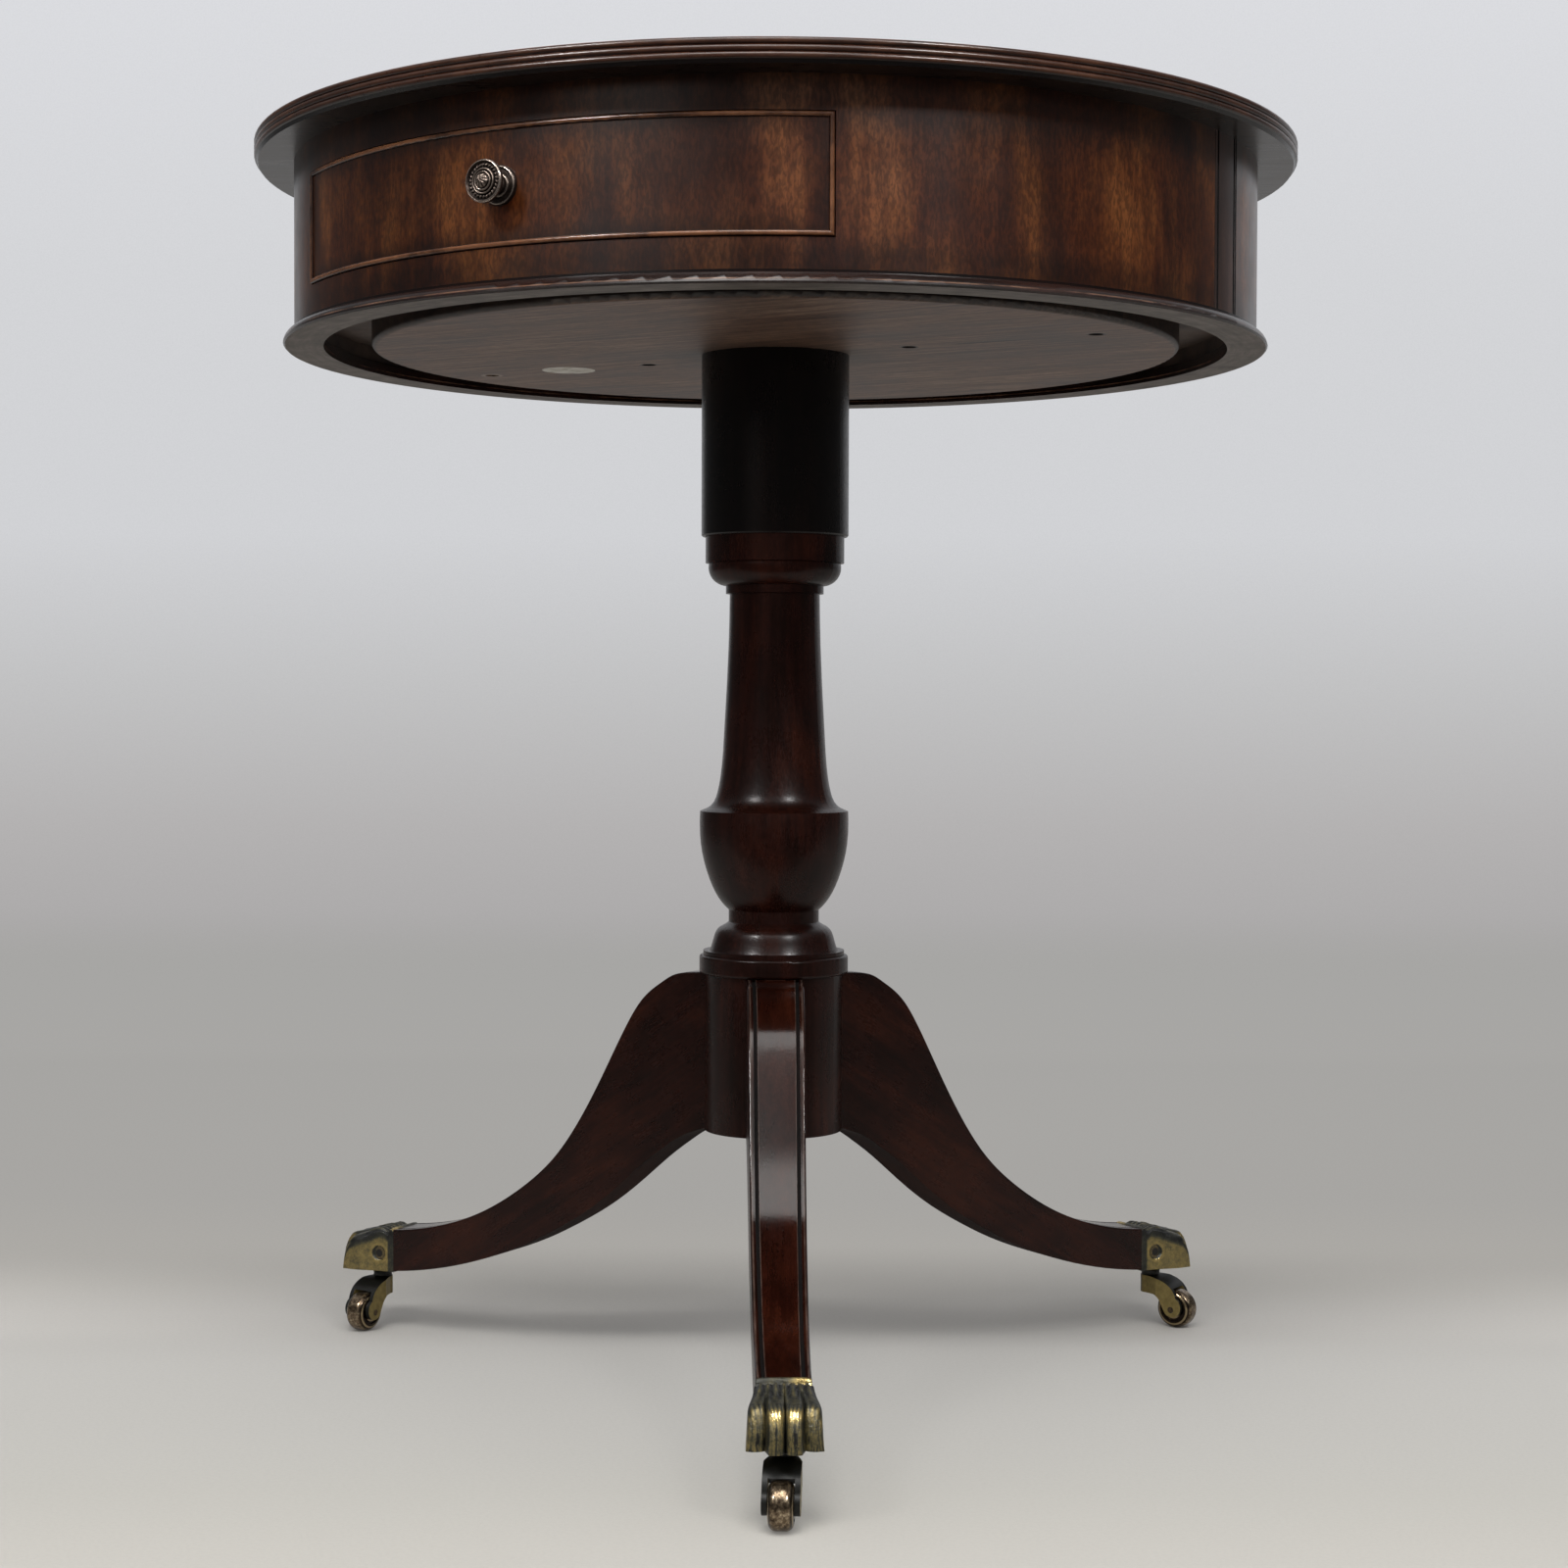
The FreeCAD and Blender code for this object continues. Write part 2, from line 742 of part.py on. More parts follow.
def toe_tenon(clearance):
    """The leg's end inside the claw, or the claw's socket if a clearance is given."""
    half = leg_toe_width / 2 - toe_tenon_wall + clearance
    end = leg_reach + toe_tenon_length + clearance
    bottom = leg_toe_bottom + toe_tenon_wall / 2 - clearance
    top = leg_toe_top - 2 * toe_tenon_wall + clearance
    return block(leg_reach - overrun, end, -half, half, bottom, top)


def claw_screws(clearance):
    """Two countersunk screws, one in each side of a claw."""
    pieces = []
    place = leg_reach + claw_screw_place
    level = claw_bottom + claw_screw_height
    for side in (-1, 1):
        piece = wood_screw(claw_screw_length, clearance)
        piece.rotate(origin, Vector(1, 0, 0), side * 90)
        piece.translate(Vector(place, side * (leg_toe_width / 2 + claw_screw_proud), level))
        pieces.append(piece)
    return pieces


def leg():
    """One sabre leg, with its tenons, before it is turned to its place."""
    body = slab(leg_outline(), 2 * leg_root_width).common(leg_plan())
    for groove in leg_grooves(body):
        body = body.cut(groove)
    body = body.makeFillet(leg_bead_round, bead_edges(body))
    half = leg_tenon_width / 2
    inner = leg_seat - leg_tenon_depth
    tenon = block(inner, leg_seat + overrun, -half, half, pillar_clearance, block_top - glue_gap)
    body = body.fuse([tenon, toe_tenon(0)]).removeSplitter()
    stem_top = crown_top + stem_height + running_gap
    stem_room = cylinder(stem_radius + 2 * running_gap, 0, stem_top, stem_place)
    return body.cut([stem_room] + claw_screws(pin_clearance))


def claw_side():
    """The claw's side: a rib, a knuckle and toes that curve down to the front."""
    top = claw_bottom + claw_height
    end = leg_reach + claw_length
    rib = between(claw_rib_shares, leg_reach, end, claw_bottom, top)
    back = between(claw_back_shares, leg_reach, end, claw_bottom, top)
    outline = Outline(leg_reach, claw_bottom).line(*rib[0]).arc(rib[1], rib[2]).curve(back)
    return outline.line(end, claw_bottom)


def claw_plan():
    """The claw from above: flared sides and four rounded toes."""
    half = claw_toe_width / 2
    end = leg_reach + claw_length

    def place(share, side):
        x = leg_reach + (end - leg_reach) * share[0]
        return Vector(x, side * half * share[1], claw_bottom)

    edges = []
    for side in (-1, 1):
        flare = Part.BSplineCurve()
        flare.interpolate([place(share, side) for share in claw_side_shares])
        edges.append(flare.toShape())
        points = [claw_side_shares[-1]] + list(claw_outer_toe_shares) + list(claw_inner_toe_shares)
        spots = [place(share, side) for share in points]
        edges.append(Part.Arc(spots[0], spots[1], spots[2]).toShape())
        edges.append(Part.Arc(spots[2], spots[3], spots[4]).toShape())
    edges.append(Part.LineSegment(place(claw_side_shares[0], -1), place(claw_side_shares[0], 1)).toShape())
    face = Part.Face(Part.Wire(Part.__sortEdges__(edges)))
    return face.extrude(Vector(0, 0, claw_height))


def claw():
    """One hollow toe with the boss that the caster's stem turns in."""
    body = slab(claw_side(), 2 * claw_toe_width).common(claw_plan())
    boss = Outline(0, claw_bottom - boss_height).line(boss_bottom_radius, claw_bottom - boss_height)
    boss = turned(boss.line(boss_top_radius, claw_bottom).line(0, claw_bottom))
    boss.translate(Vector(stem_place, 0, 0))
    body = body.fuse(boss).cut(toe_tenon(glue_gap))
    bore = cylinder(stem_radius + bearing_clearance, 0, crown_top + stem_height + running_gap, stem_place)
    return body.cut([bore] + claw_screws(pin_clearance))


def stem_point(index):
    angle = math.radians(leg_azimuth(index))
    return Vector(stem_place * math.sin(angle), -stem_place * math.cos(angle), 0)


def set_caster(shape, index):
    """Moves a caster's piece from the origin to its leg, trailing the way it stands."""
    shape = turn_to(shape, caster_azimuths[index])
    shape.translate(stem_point(index))
    return shape


def fork_side():
    """The fork's side: an upright back, and an arm that sweeps down to the axle."""
    upper = between(fork_top_shares, 0, caster_trail, wheel_radius, crown_top)
    lower = between(fork_under_shares, 0, caster_trail, wheel_radius, crown_top)
    outline = Outline(-fork_back_radius, crown_top - fork_crown_drop).line(-fork_back_radius, crown_top)
    outline.line(0, crown_top).curve(upper)
    outline.arc((caster_trail, wheel_radius - fork_boss_radius), lower[0])
    outline.curve(lower)
    return outline.line(-fork_back_radius, crown_top - fork_crown_drop)


def fork_plan():
    """The fork from above: round about the stem, and spread out to the arms."""
    half = fork_width / 2
    back = fork_back_radius
    spread = caster_trail * fork_spread_share
    far = caster_trail + wheel_radius
    edges = [Part.Arc(Vector(0, -back, 0), Vector(-back, 0, 0), Vector(0, back, 0)).toShape()]
    chain = [(0, back), (spread, half), (far, half), (far, -half), (spread, -half), (0, -back)]
    for start, end in zip(chain, chain[1:]):
        edges.append(Part.LineSegment(Vector(start[0], start[1], 0), Vector(end[0], end[1], 0)).toShape())
    face = Part.Face(Part.Wire(Part.__sortEdges__(edges)))
    return face.extrude(Vector(0, 0, crown_top))


def across(radius, width):
    """A cylinder on the axle's line, half its width on each side."""
    return Part.makeCylinder(radius, width, Vector(caster_trail, -width / 2, wheel_radius), Vector(0, 1, 0))


def fork():
    body = slab(fork_side(), 2 * fork_width).common(fork_plan())
    body = body.cut(across(wheel_radius + fork_wheel_room, wheel_width + 2 * running_gap))
    body = body.cut(across(axle_radius + pin_clearance, 2 * fork_width))
    return body.fuse(cylinder(stem_radius, crown_top - stem_radius, crown_top + stem_height))


def wheel():
    """A solid wheel with a rounded tread and two rings turned in each face."""
    half = wheel_width / 2
    low = tread_round * (1 - math.sqrt(0.5))
    bore = axle_radius + bearing_clearance
    outline = Outline(bore, -half).line(wheel_radius - tread_round, -half)
    outline.arc((wheel_radius - low, low - half), (wheel_radius, tread_round - half))
    outline.line(wheel_radius, half - tread_round)
    outline.arc((wheel_radius - low, half - low), (wheel_radius - tread_round, half))
    body = turned(outline.line(bore, half))
    for radius in wheel_ring_radii:
        for side in (-1, 1):
            edge = side * half
            low, high = sorted((edge - side * wheel_ring_depth, edge + side * overrun))
            body = body.cut(ring(radius - wheel_ring_width, radius, low, high))
    body.rotate(origin, Vector(1, 0, 0), 90)
    body.translate(Vector(caster_trail, 0, wheel_radius))
    return body


def axle():
    return across(axle_radius, fork_width)


def mitre(azimuth, level, tilt):
    """A half space whose face runs out along a corner of the drawer front at a tilt."""
    reach = 2 * frieze_radius
    piece = block(0, reach, -reach, 0, -reach, reach)
    piece.rotate(origin, Vector(1, 0, 0), tilt)
    piece.translate(Vector(0, 0, level))
    return turn_to(piece, azimuth)


def bead_nose():
    """The section of a cockbead that is turned about the table's axis, with a round nose."""
    inner = frieze_radius - bead_depth
    flat = frieze_radius + bead_proud - bead_width / 2
    outline = Outline(inner, 0).line(flat, 0)
    outline.arc((flat + bead_width / 2, bead_width / 2), (flat, bead_width))
    return outline.line(inner, bead_width)


def level_bead(bottom, corner_level, tilt):
    """A cockbead along the drawer front's top or bottom edge, mitred at both ends."""
    bead = bead_nose().face().revolve(origin, up, 2 * drawer_half_angle)
    bead = turn_to(bead, -drawer_half_angle)
    bead.translate(Vector(0, 0, bottom))
    bead = bead.cut(mitre(drawer_half_angle, corner_level, tilt))
    other = mitre(drawer_half_angle, corner_level, tilt).mirror(origin, Vector(1, 0, 0))
    return bead.cut(other)


def cockbead_top():
    return level_bead(drawer_top_level - bead_width, drawer_top_level, 135)


def cockbead_bottom():
    return level_bead(drawer_bottom_level, drawer_bottom_level, 225)


def upright_bead():
    """A cockbead along the drawer front's right end, mitred at its top and bottom."""
    inner = frieze_radius - bead_depth
    flat = frieze_radius + bead_proud - bead_width / 2
    outline = Outline(inner, -bead_width).line(flat, -bead_width)
    outline.arc((flat + bead_width / 2, -bead_width / 2), (flat, 0)).line(inner, 0)
    bead = outline.face()
    bead.rotate(origin, Vector(1, 0, 0), -90)
    bead = bead.extrude(Vector(0, 0, drawer_height))
    bead.translate(Vector(0, 0, drawer_bottom_level))
    bead = turn_to(bead, drawer_half_angle)
    below = mitre(drawer_half_angle, drawer_top_level, 135)
    above = mitre(drawer_half_angle, drawer_bottom_level, 225)
    return bead.common(below).common(above)


def drawer_front():
    """The curved front, rebated all round for the cockbeads."""
    body = sector(
        drawer_inner_radius, frieze_radius, drawer_bottom_level, drawer_top_level, 0, drawer_half_angle
    )
    inner = frieze_radius - bead_depth - glue_gap
    rim = sector(
        inner, frieze_radius + overrun, drawer_bottom_level - overrun, drawer_top_level + overrun,
        0, drawer_half_angle + math.degrees(overrun / frieze_radius)
    )
    field = sector(
        inner - overrun, frieze_radius + 2 * overrun,
        drawer_bottom_level + bead_width + glue_gap, drawer_top_level - bead_width - glue_gap,
        0, drawer_half_angle + math.degrees(2 * overrun / frieze_radius)
    )
    half_chord = bead_width + glue_gap
    cutter = block(0, 2 * frieze_radius, -half_chord, frieze_radius, 0, table_height)
    right = turn_to(cutter, drawer_half_angle)
    left = right.mirror(origin, Vector(1, 0, 0))
    field = field.cut(right).cut(left)
    body = body.cut(rim.cut(field))
    return body.cut(along_knob(knob_stem_radius + pin_clearance, 0, 2 * frieze_radius))


def along_knob(radius, start, end):
    """A cylinder on the knob's line, between two distances from the table's axis."""
    level = (drawer_bottom_level + drawer_top_level) / 2
    return Part.makeCylinder(radius, end - start, Vector(0, -start, level), Vector(0, -1, 0))


def face_forward(shape):
    """Sets a piece turned about Z on the drawer front, with its top to the front."""
    shape.rotate(origin, Vector(1, 0, 0), 90)
    shape.translate(Vector(0, -frieze_radius, (drawer_bottom_level + drawer_top_level) / 2))
    return shape


def knob_rose():
    """The round plate behind the knob, with a raised rim and an inner ring."""
    rim = between(rose_rim_shares, 0, rose_radius, 0, rose_thickness)
    inner_ring = between(rose_ring_shares, 0, rose_radius, 0, rose_thickness)
    bore = knob_stem_radius + pin_clearance
    outline = Outline(bore, -rose_sink).line(rose_radius, -rose_sink).line(*rim[0]).arc(rim[1], rim[2])
    outline.line(*inner_ring[0]).arc(inner_ring[1], inner_ring[2]).line(bore, inner_ring[2][1])
    rose = face_forward(turned(outline))
    return rose.cut(cylinder(frieze_radius, drawer_bottom_level, drawer_top_level))


def dome_arc(foot, top):
    """The middle and the end of an arc that closes on the axis as part of a sphere."""
    rise = top - foot[1]
    sphere_radius = (foot[0] ** 2 + rise ** 2) / (2 * rise)
    middle = foot[0] / 2
    return (middle, top - sphere_radius + math.sqrt(sphere_radius ** 2 - middle ** 2)), (0, top)


def drawer_knob():
    """The knob and its stem in one piece: a neck, a dished face and a domed middle."""
    radius = knob_radius
    high = knob_projection
    stem_end = drawer_front_thickness + knob_nut_height + knob_stem_end
    seat = rose_thickness * rose_ring_shares[-1][1]
    rim_foot = high * knob_rim_foot_share
    rim = between(knob_rim_shares, 0, radius, 0, high)
    dish = between(knob_dish_shares, 0, radius, 0, high)
    inner_ring = between(knob_ring_shares, 0, radius, 0, high)
    outline = Outline(0, -stem_end).line(knob_stem_radius, -stem_end).line(knob_stem_radius, seat)
    outline.line(knob_neck_radius, seat)
    outline.curve(turned_curve(knob_neck_shares, knob_neck_radius, radius, seat, rim_foot - seat))
    outline.arc(rim[0], rim[1]).line(*dish[0]).line(*dish[1]).arc(inner_ring[0], inner_ring[1])
    outline.arc(*dome_arc(inner_ring[1], high))
    return face_forward(turned(outline))


def knob_nut():
    nut = hexagon(knob_nut_across_flats, 0, knob_nut_height)
    nut = nut.cut(cylinder(knob_stem_radius + pin_clearance, -overrun, knob_nut_height + overrun))
    nut.translate(Vector(0, 0, -drawer_front_thickness - knob_nut_height - glue_gap))
    return face_forward(nut)


def drawer_room():
    """All that lies behind the drawer front's curved inner face."""
    return cylinder(drawer_inner_radius - glue_gap, floor_top, top_underside)


def bottom_panel(clearance):
    """The drawer's bottom, or the grooves that take it if a clearance is given."""
    half = drawer_inner_half + drawer_groove - glue_gap + clearance
    low = side_bottom + drawer_bottom_rise - clearance
    high = low + drawer_bottom_thickness + 2 * clearance
    return block(-half, half, -frieze_radius, -drawer_back_place + clearance, low, high)


def drawer_side():
    """The right side of the drawer, grooved for the bottom."""
    side = block(
        drawer_inner_half, drawer_outer_half, -frieze_radius, -drawer_back_place, side_bottom, side_top
    )
    return side.common(drawer_room()).cut(bottom_panel(glue_gap))


def drawer_back():
    """The back, which stands on the bottom between the sides."""
    low = side_bottom + drawer_bottom_rise + drawer_bottom_thickness + glue_gap
    half = drawer_inner_half
    return block(-half, half, -drawer_back_place - drawer_back_thickness, -drawer_back_place, low, side_top)


def drawer_bottom():
    return bottom_panel(0).common(drawer_room())


def runner():
    """The right runner: a strip under the drawer's side and a guide beside it."""
    outer = drawer_outer_half + guide_gap + guide_width
    inner = outer - runner_width
    back = -drawer_back_place + runner_back_room
    body = block(inner, outer, -frieze_radius, back, floor_top, runner_top)
    guide_top = runner_top + guide_height
    body = body.fuse(block(outer - guide_width, outer, -frieze_radius, back, floor_top, guide_top))
    return body.removeSplitter().common(inner_room())


def inner_room():
    """The space for the fixed rails, clear of the drawer front."""
    return cylinder(drawer_inner_radius - guide_gap, floor_top, top_underside)


def kicker():
    """The right rail over the drawer's side, which keeps the drawer level."""
    middle = (drawer_inner_half + drawer_outer_half) / 2
    back = -drawer_back_place + runner_back_room
    low = side_top + guide_gap
    inner = middle - kicker_width / 2
    rail = block(inner, inner + kicker_width, -frieze_radius, back, low, top_underside)
    return rail.common(inner_room())


def drawer_stop():
    """The block under the top that catches the drawer's back when it is pulled out."""
    back_face = -drawer_back_place - drawer_back_thickness - drawer_travel - drawer_gap
    low = side_top - stop_drop
    return block(-stop_width / 2, stop_width / 2, back_face - stop_thickness, back_face, low, top_underside)


def back_stops():
    """Two blocks on the drum's floor that the drawer's back comes home against."""
    front_face = -drawer_back_place + running_gap
    back_face = front_face + stop_thickness
    stop_top = side_bottom + back_stop_height
    offset = drawer_inner_half * back_stop_place_share
    pieces = []
    for side in (-1, 1):
        middle = side * offset
        low = middle - stop_width / 2
        pieces.append(block(low, low + stop_width, front_face, back_face, floor_top, stop_top))
    return group(pieces)


def both_sides(name, shape):
    """Writes a right-hand piece and its mirror image."""
    save(name + "_right", shape)
    save(name + "_left", shape.mirror(origin, Vector(1, 0, 0)))


def build_drum():
    save("top_board", top_board())
    save("top_lipping", top_lipping())
    save("frieze_front", frieze_front())
    save("frieze_back", frieze_back())
    save("strip_right", strip(strip_azimuth))
    save("strip_left", strip(-strip_azimuth))
    save("base_moulding", base_moulding())
    save("drum_floor", drum_floor())
    save("top_blocks", top_blocks())
    save("top_screws", top_screws())
    both_sides("runner", runner())
    both_sides("kicker", kicker())
    save("drawer_stop", drawer_stop())
    save("back_stops", back_stops())


def build_drawer():
    save("drawer_front", drawer_front())
    save("cockbead_top", cockbead_top())
    save("cockbead_bottom", cockbead_bottom())
    both_sides("cockbead", upright_bead())
    both_sides("drawer_side", drawer_side())
    save("drawer_back", drawer_back())
    save("drawer_bottom", drawer_bottom())
    save("knob_rose", knob_rose())
    save("drawer_knob", drawer_knob())
    save("knob_nut", knob_nut())


def build_pedestal():
    save("column", column())
    save("head_block", head_block())
    save("turntable_board", turntable_board())
    save("bearing_strap", bearing_strap())
    save("strap_screws", group(strap_screws(0)))
    save("head_screws", group(head_fixings(0)))
    save("hole_plug", hole_plug())
    save("pivot_bolt", pivot_bolt())
    save("pivot_washer", pivot_washer())
    save("pivot_nut", pivot_nut())
    screws = []
    for index, name in enumerate(leg_names):
        save("leg_" + name, turn_to(leg(), leg_azimuth(index)))
        save("claw_" + name, turn_to(claw(), leg_azimuth(index)))
        for screw in claw_screws(0):
            screws.append(turn_to(screw, leg_azimuth(index)))
    save("claw_screws", group(screws))


def build_casters():
    for index, name in enumerate(leg_names):
        save("fork_" + name, set_caster(fork(), index))
        save("axle_" + name, set_caster(axle(), index))
        save("wheel_" + name, set_caster(wheel(), index))


os.makedirs("parts", exist_ok=True)
build_pedestal()
build_casters()
build_drum()
build_drawer()
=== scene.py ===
import math

import bmesh
import bpy
from mathutils import Matrix, Vector


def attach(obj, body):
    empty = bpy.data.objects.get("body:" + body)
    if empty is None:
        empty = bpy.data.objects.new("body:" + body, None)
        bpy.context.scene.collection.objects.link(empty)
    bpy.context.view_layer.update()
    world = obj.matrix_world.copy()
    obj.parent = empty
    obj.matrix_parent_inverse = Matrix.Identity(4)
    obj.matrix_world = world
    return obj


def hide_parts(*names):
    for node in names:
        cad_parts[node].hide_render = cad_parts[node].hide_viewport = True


# The looks of a drum table, in metres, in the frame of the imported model: floor at
# Z = 0, pillar on the Z axis, drawer towards -Y. Azimuths are in degrees from -Y
# towards +X. The photograph was taken from an azimuth of VIEW_TURN.

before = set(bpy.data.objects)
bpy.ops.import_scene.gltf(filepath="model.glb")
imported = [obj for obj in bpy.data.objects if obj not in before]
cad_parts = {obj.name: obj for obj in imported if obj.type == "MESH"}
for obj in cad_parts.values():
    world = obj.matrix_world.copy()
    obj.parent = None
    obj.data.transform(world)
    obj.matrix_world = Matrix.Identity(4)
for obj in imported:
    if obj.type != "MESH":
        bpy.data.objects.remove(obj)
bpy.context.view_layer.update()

VIEW_TURN = 29.4
CAMERA_PLACE = (0.81461, -1.43375, 0.4034)
CAMERA_LENS = 63.3
CAMERA_DOWN = 1.608
CAMERA_ROLL = 0.19
TOP_RADIUS = 0.305
TOP_HEIGHT = 0.728
FRIEZE_RADIUS = 0.2823
FRIEZE_LOW = 0.6192
FRIEZE_HIGH = 0.7156
DRAWER_LOW = 0.6357
DRAWER_HIGH = 0.6970
DRAWER_MIDDLE = (DRAWER_LOW + DRAWER_HIGH) / 2
DRAWER_HALF = math.radians(35.5)
RIM_SEAM = 107.0
STRAP_SCREWS = (0.089, 0.2062)
LEGS = (("front", 30.8, 25.4), ("right", 150.8, 84.4), ("left", 270.8, -0.6))
LEG_ROOT = 0.0375
LEG_ROOT_HALF = 0.01665
LEG_END_HALF = 0.0142
LEG_SLOPE = 57.0
STEM_PLACE = 0.290
TRAIL = 0.0195
WHEEL_RADIUS = 0.0123
CLAW_START = 0.271
CLAW_LENGTH = 0.0445
CLAW_BOTTOM = 0.0384
CLAW_HEIGHT = 0.0282
CLAW_HALF = 0.0194
SCREW_X = CLAW_START + 0.011
SCREW_Z = CLAW_BOTTOM + 0.0115


def srgb(red, green, blue):
    """A colour as it looks on a screen, 0 to 255, in linear values."""
    out = []
    for value in (red, green, blue):
        share = value / 255
        out.append(share / 12.92 if share <= 0.04045 else ((share + 0.055) / 1.055) ** 2.4)
    return (out[0], out[1], out[2], 1.0)


def direction(azimuth):
    """The level unit vector at an azimuth."""
    angle = math.radians(azimuth)
    return Vector((math.sin(angle), -math.cos(angle), 0))


class Nodes:
    """A node tree, with short ways to add nodes to it."""

    def __init__(self, tree):
        self.tree = tree
        tree.nodes.clear()

    def node(self, kind, **settings):
        made = self.tree.nodes.new(kind)
        for key, value in settings.items():
            setattr(made, key, value)
        return made

    def feed(self, socket, value):
        """Links a socket to another one, or sets it to a plain value."""
        if isinstance(value, bpy.types.NodeSocket):
            self.tree.links.new(value, socket)
        else:
            socket.default_value = value

    def math(self, operation, first, second=0.0):
        made = self.node("ShaderNodeMath", operation=operation)
        self.feed(made.inputs[0], first)
        self.feed(made.inputs[1], second)
        return made.outputs[0]

    def times(self, first, second):
        return self.math("MULTIPLY", first, second)

    def larger(self, first, second):
        return self.math("MAXIMUM", first, second)

    def rise(self, base, value, amount):
        """A base plus an amount of a value."""
        return self.math("ADD", base, self.times(value, amount))

    def spread(self, noise, amount):
        """An amount of a noise, both ways from nothing."""
        return self.times(self.math("SUBTRACT", noise, 0.5), amount)

    def vector(self, operation, first, second=(0, 0, 0)):
        made = self.node("ShaderNodeVectorMath", operation=operation)
        self.feed(made.inputs[0], first)
        self.feed(made.inputs[1], second)
        return made.outputs[1] if operation in ("LENGTH", "DOT_PRODUCT") else made.outputs[0]

    def split(self, vector):
        made = self.node("ShaderNodeSeparateXYZ")
        self.feed(made.inputs[0], vector)
        return made.outputs[0], made.outputs[1], made.outputs[2]

    def join(self, x, y, z):
        made = self.node("ShaderNodeCombineXYZ")
        for socket, value in zip(made.inputs, (x, y, z)):
            self.feed(socket, value)
        return made.outputs[0]

    def radius(self, first, second):
        """The length of two coordinates taken together."""
        return self.vector("LENGTH", self.join(first, second, 0.0))

    def stretch(self, vector, x, y, z):
        return self.vector("MULTIPLY", vector, (x, y, z))

    def turned(self, vector, azimuth, centre=(0, 0, 0)):
        """The point seen from a centre, with +X along an azimuth."""
        made = self.node("ShaderNodeVectorRotate", rotation_type="Z_AXIS")
        self.feed(made.inputs["Vector"], vector)
        made.inputs["Center"].default_value = centre
        made.inputs["Angle"].default_value = math.radians(90 - azimuth)
        return self.vector("SUBTRACT", made.outputs[0], centre)

    def noise(self, vector, scale, detail=2.0, roughness=0.5, distortion=0.0):
        made = self.node("ShaderNodeTexNoise")
        self.feed(made.inputs["Vector"], vector)
        made.inputs["Scale"].default_value = scale
        made.inputs["Detail"].default_value = detail
        made.inputs["Roughness"].default_value = roughness
        made.inputs["Distortion"].default_value = distortion
        return made.outputs["Fac"]

    def range(self, value, low, high, start=0.0, end=1.0, kind="SMOOTHSTEP"):
        """A smooth step of a value between two limits."""
        made = self.node("ShaderNodeMapRange", interpolation_type=kind)
        for index, limit in enumerate((value, low, high, start, end)):
            self.feed(made.inputs[index], limit)
        return made.outputs[0]

    def line(self, value, low, high, start, end):
        """A straight line between two limits."""
        return self.range(value, low, high, start, end, "LINEAR")

    def band(self, value, low, high, soft):
        """One between two limits, nothing outside them."""
        return self.times(self.range(value, low - soft, low + soft),
                          self.range(value, high + soft, high - soft))

    def mix(self, factor, first, second, blend="MIX"):
        made = self.node("ShaderNodeMix", data_type="RGBA", blend_type=blend)
        self.feed(made.inputs[0], factor)
        self.feed(made.inputs[6], first)
        self.feed(made.inputs[7], second)
        return made.outputs[2]

    def tint(self, color, value):
        """A colour times a value."""
        made = self.node("ShaderNodeCombineColor")
        for socket in made.inputs:
            self.feed(socket, value)
        return self.mix(1.0, color, made.outputs[0], "MULTIPLY")

    def darken(self, color, mask, share):
        """Takes a colour down to a share of itself where a mask is one."""
        return self.tint(color, self.math("SUBTRACT", 1.0, self.times(mask, 1 - share)))

    def ramp(self, value, stops):
        """Screen colours given at places along a value."""
        made = self.node("ShaderNodeValToRGB")
        self.feed(made.inputs[0], value)
        places = [place for place, _ in stops]
        colors = [srgb(*color) for _, color in stops]
        elements = made.color_ramp.elements
        elements[0].position, elements[0].color = places[0], colors[0]
        elements[1].position, elements[1].color = places[-1], colors[-1]
        for place, color in zip(places[1:-1], colors[1:-1]):
            elements.new(place).color = color
        return made.outputs[0]

    def blend(self, factor, first, second):
        """A mix of the shaders of two nodes."""
        made = self.node("ShaderNodeMixShader")
        self.feed(made.inputs[0], factor)
        self.feed(made.inputs[1], first.outputs[0])
        self.feed(made.inputs[2], second.outputs[0])
        return made.outputs[0]


class Shader(Nodes):
    """A material with one glossy surface."""

    def __init__(self, name):
        self.material = bpy.data.materials.new(name)
        self.material.use_nodes = True
        super().__init__(self.material.node_tree)
        self.surface = self.node("ShaderNodeBsdfPrincipled")
        self.output = self.node("ShaderNodeOutputMaterial").inputs[0]
        self.feed(self.output, self.surface.outputs[0])

    def place(self):
        """The point in the table's own frame, in metres."""
        return self.node("ShaderNodeTexCoord").outputs["Object"]

    def up(self):
        """How far a face looks up: one for a level top, minus one for an underside."""
        return self.split(self.node("ShaderNodeNewGeometry").outputs["True Normal"])[2]

    def attribute(self, name):
        return self.node("ShaderNodeAttribute", attribute_name=name).outputs["Fac"]

    def bump(self, height, strength, distance):
        made = self.node("ShaderNodeBump")
        made.inputs["Strength"].default_value = strength
        made.inputs["Distance"].default_value = distance
        self.feed(made.inputs["Height"], height)
        self.feed(self.surface.inputs["Normal"], made.outputs[0])

    def finish(self, color, roughness, metallic=0.0, specular=0.5):
        self.feed(self.surface.inputs["Base Color"], color)
        self.feed(self.surface.inputs["Roughness"], roughness)
        self.feed(self.surface.inputs["Metallic"], metallic)
        self.surface.inputs["Specular IOR Level"].default_value = specular
        return self.material


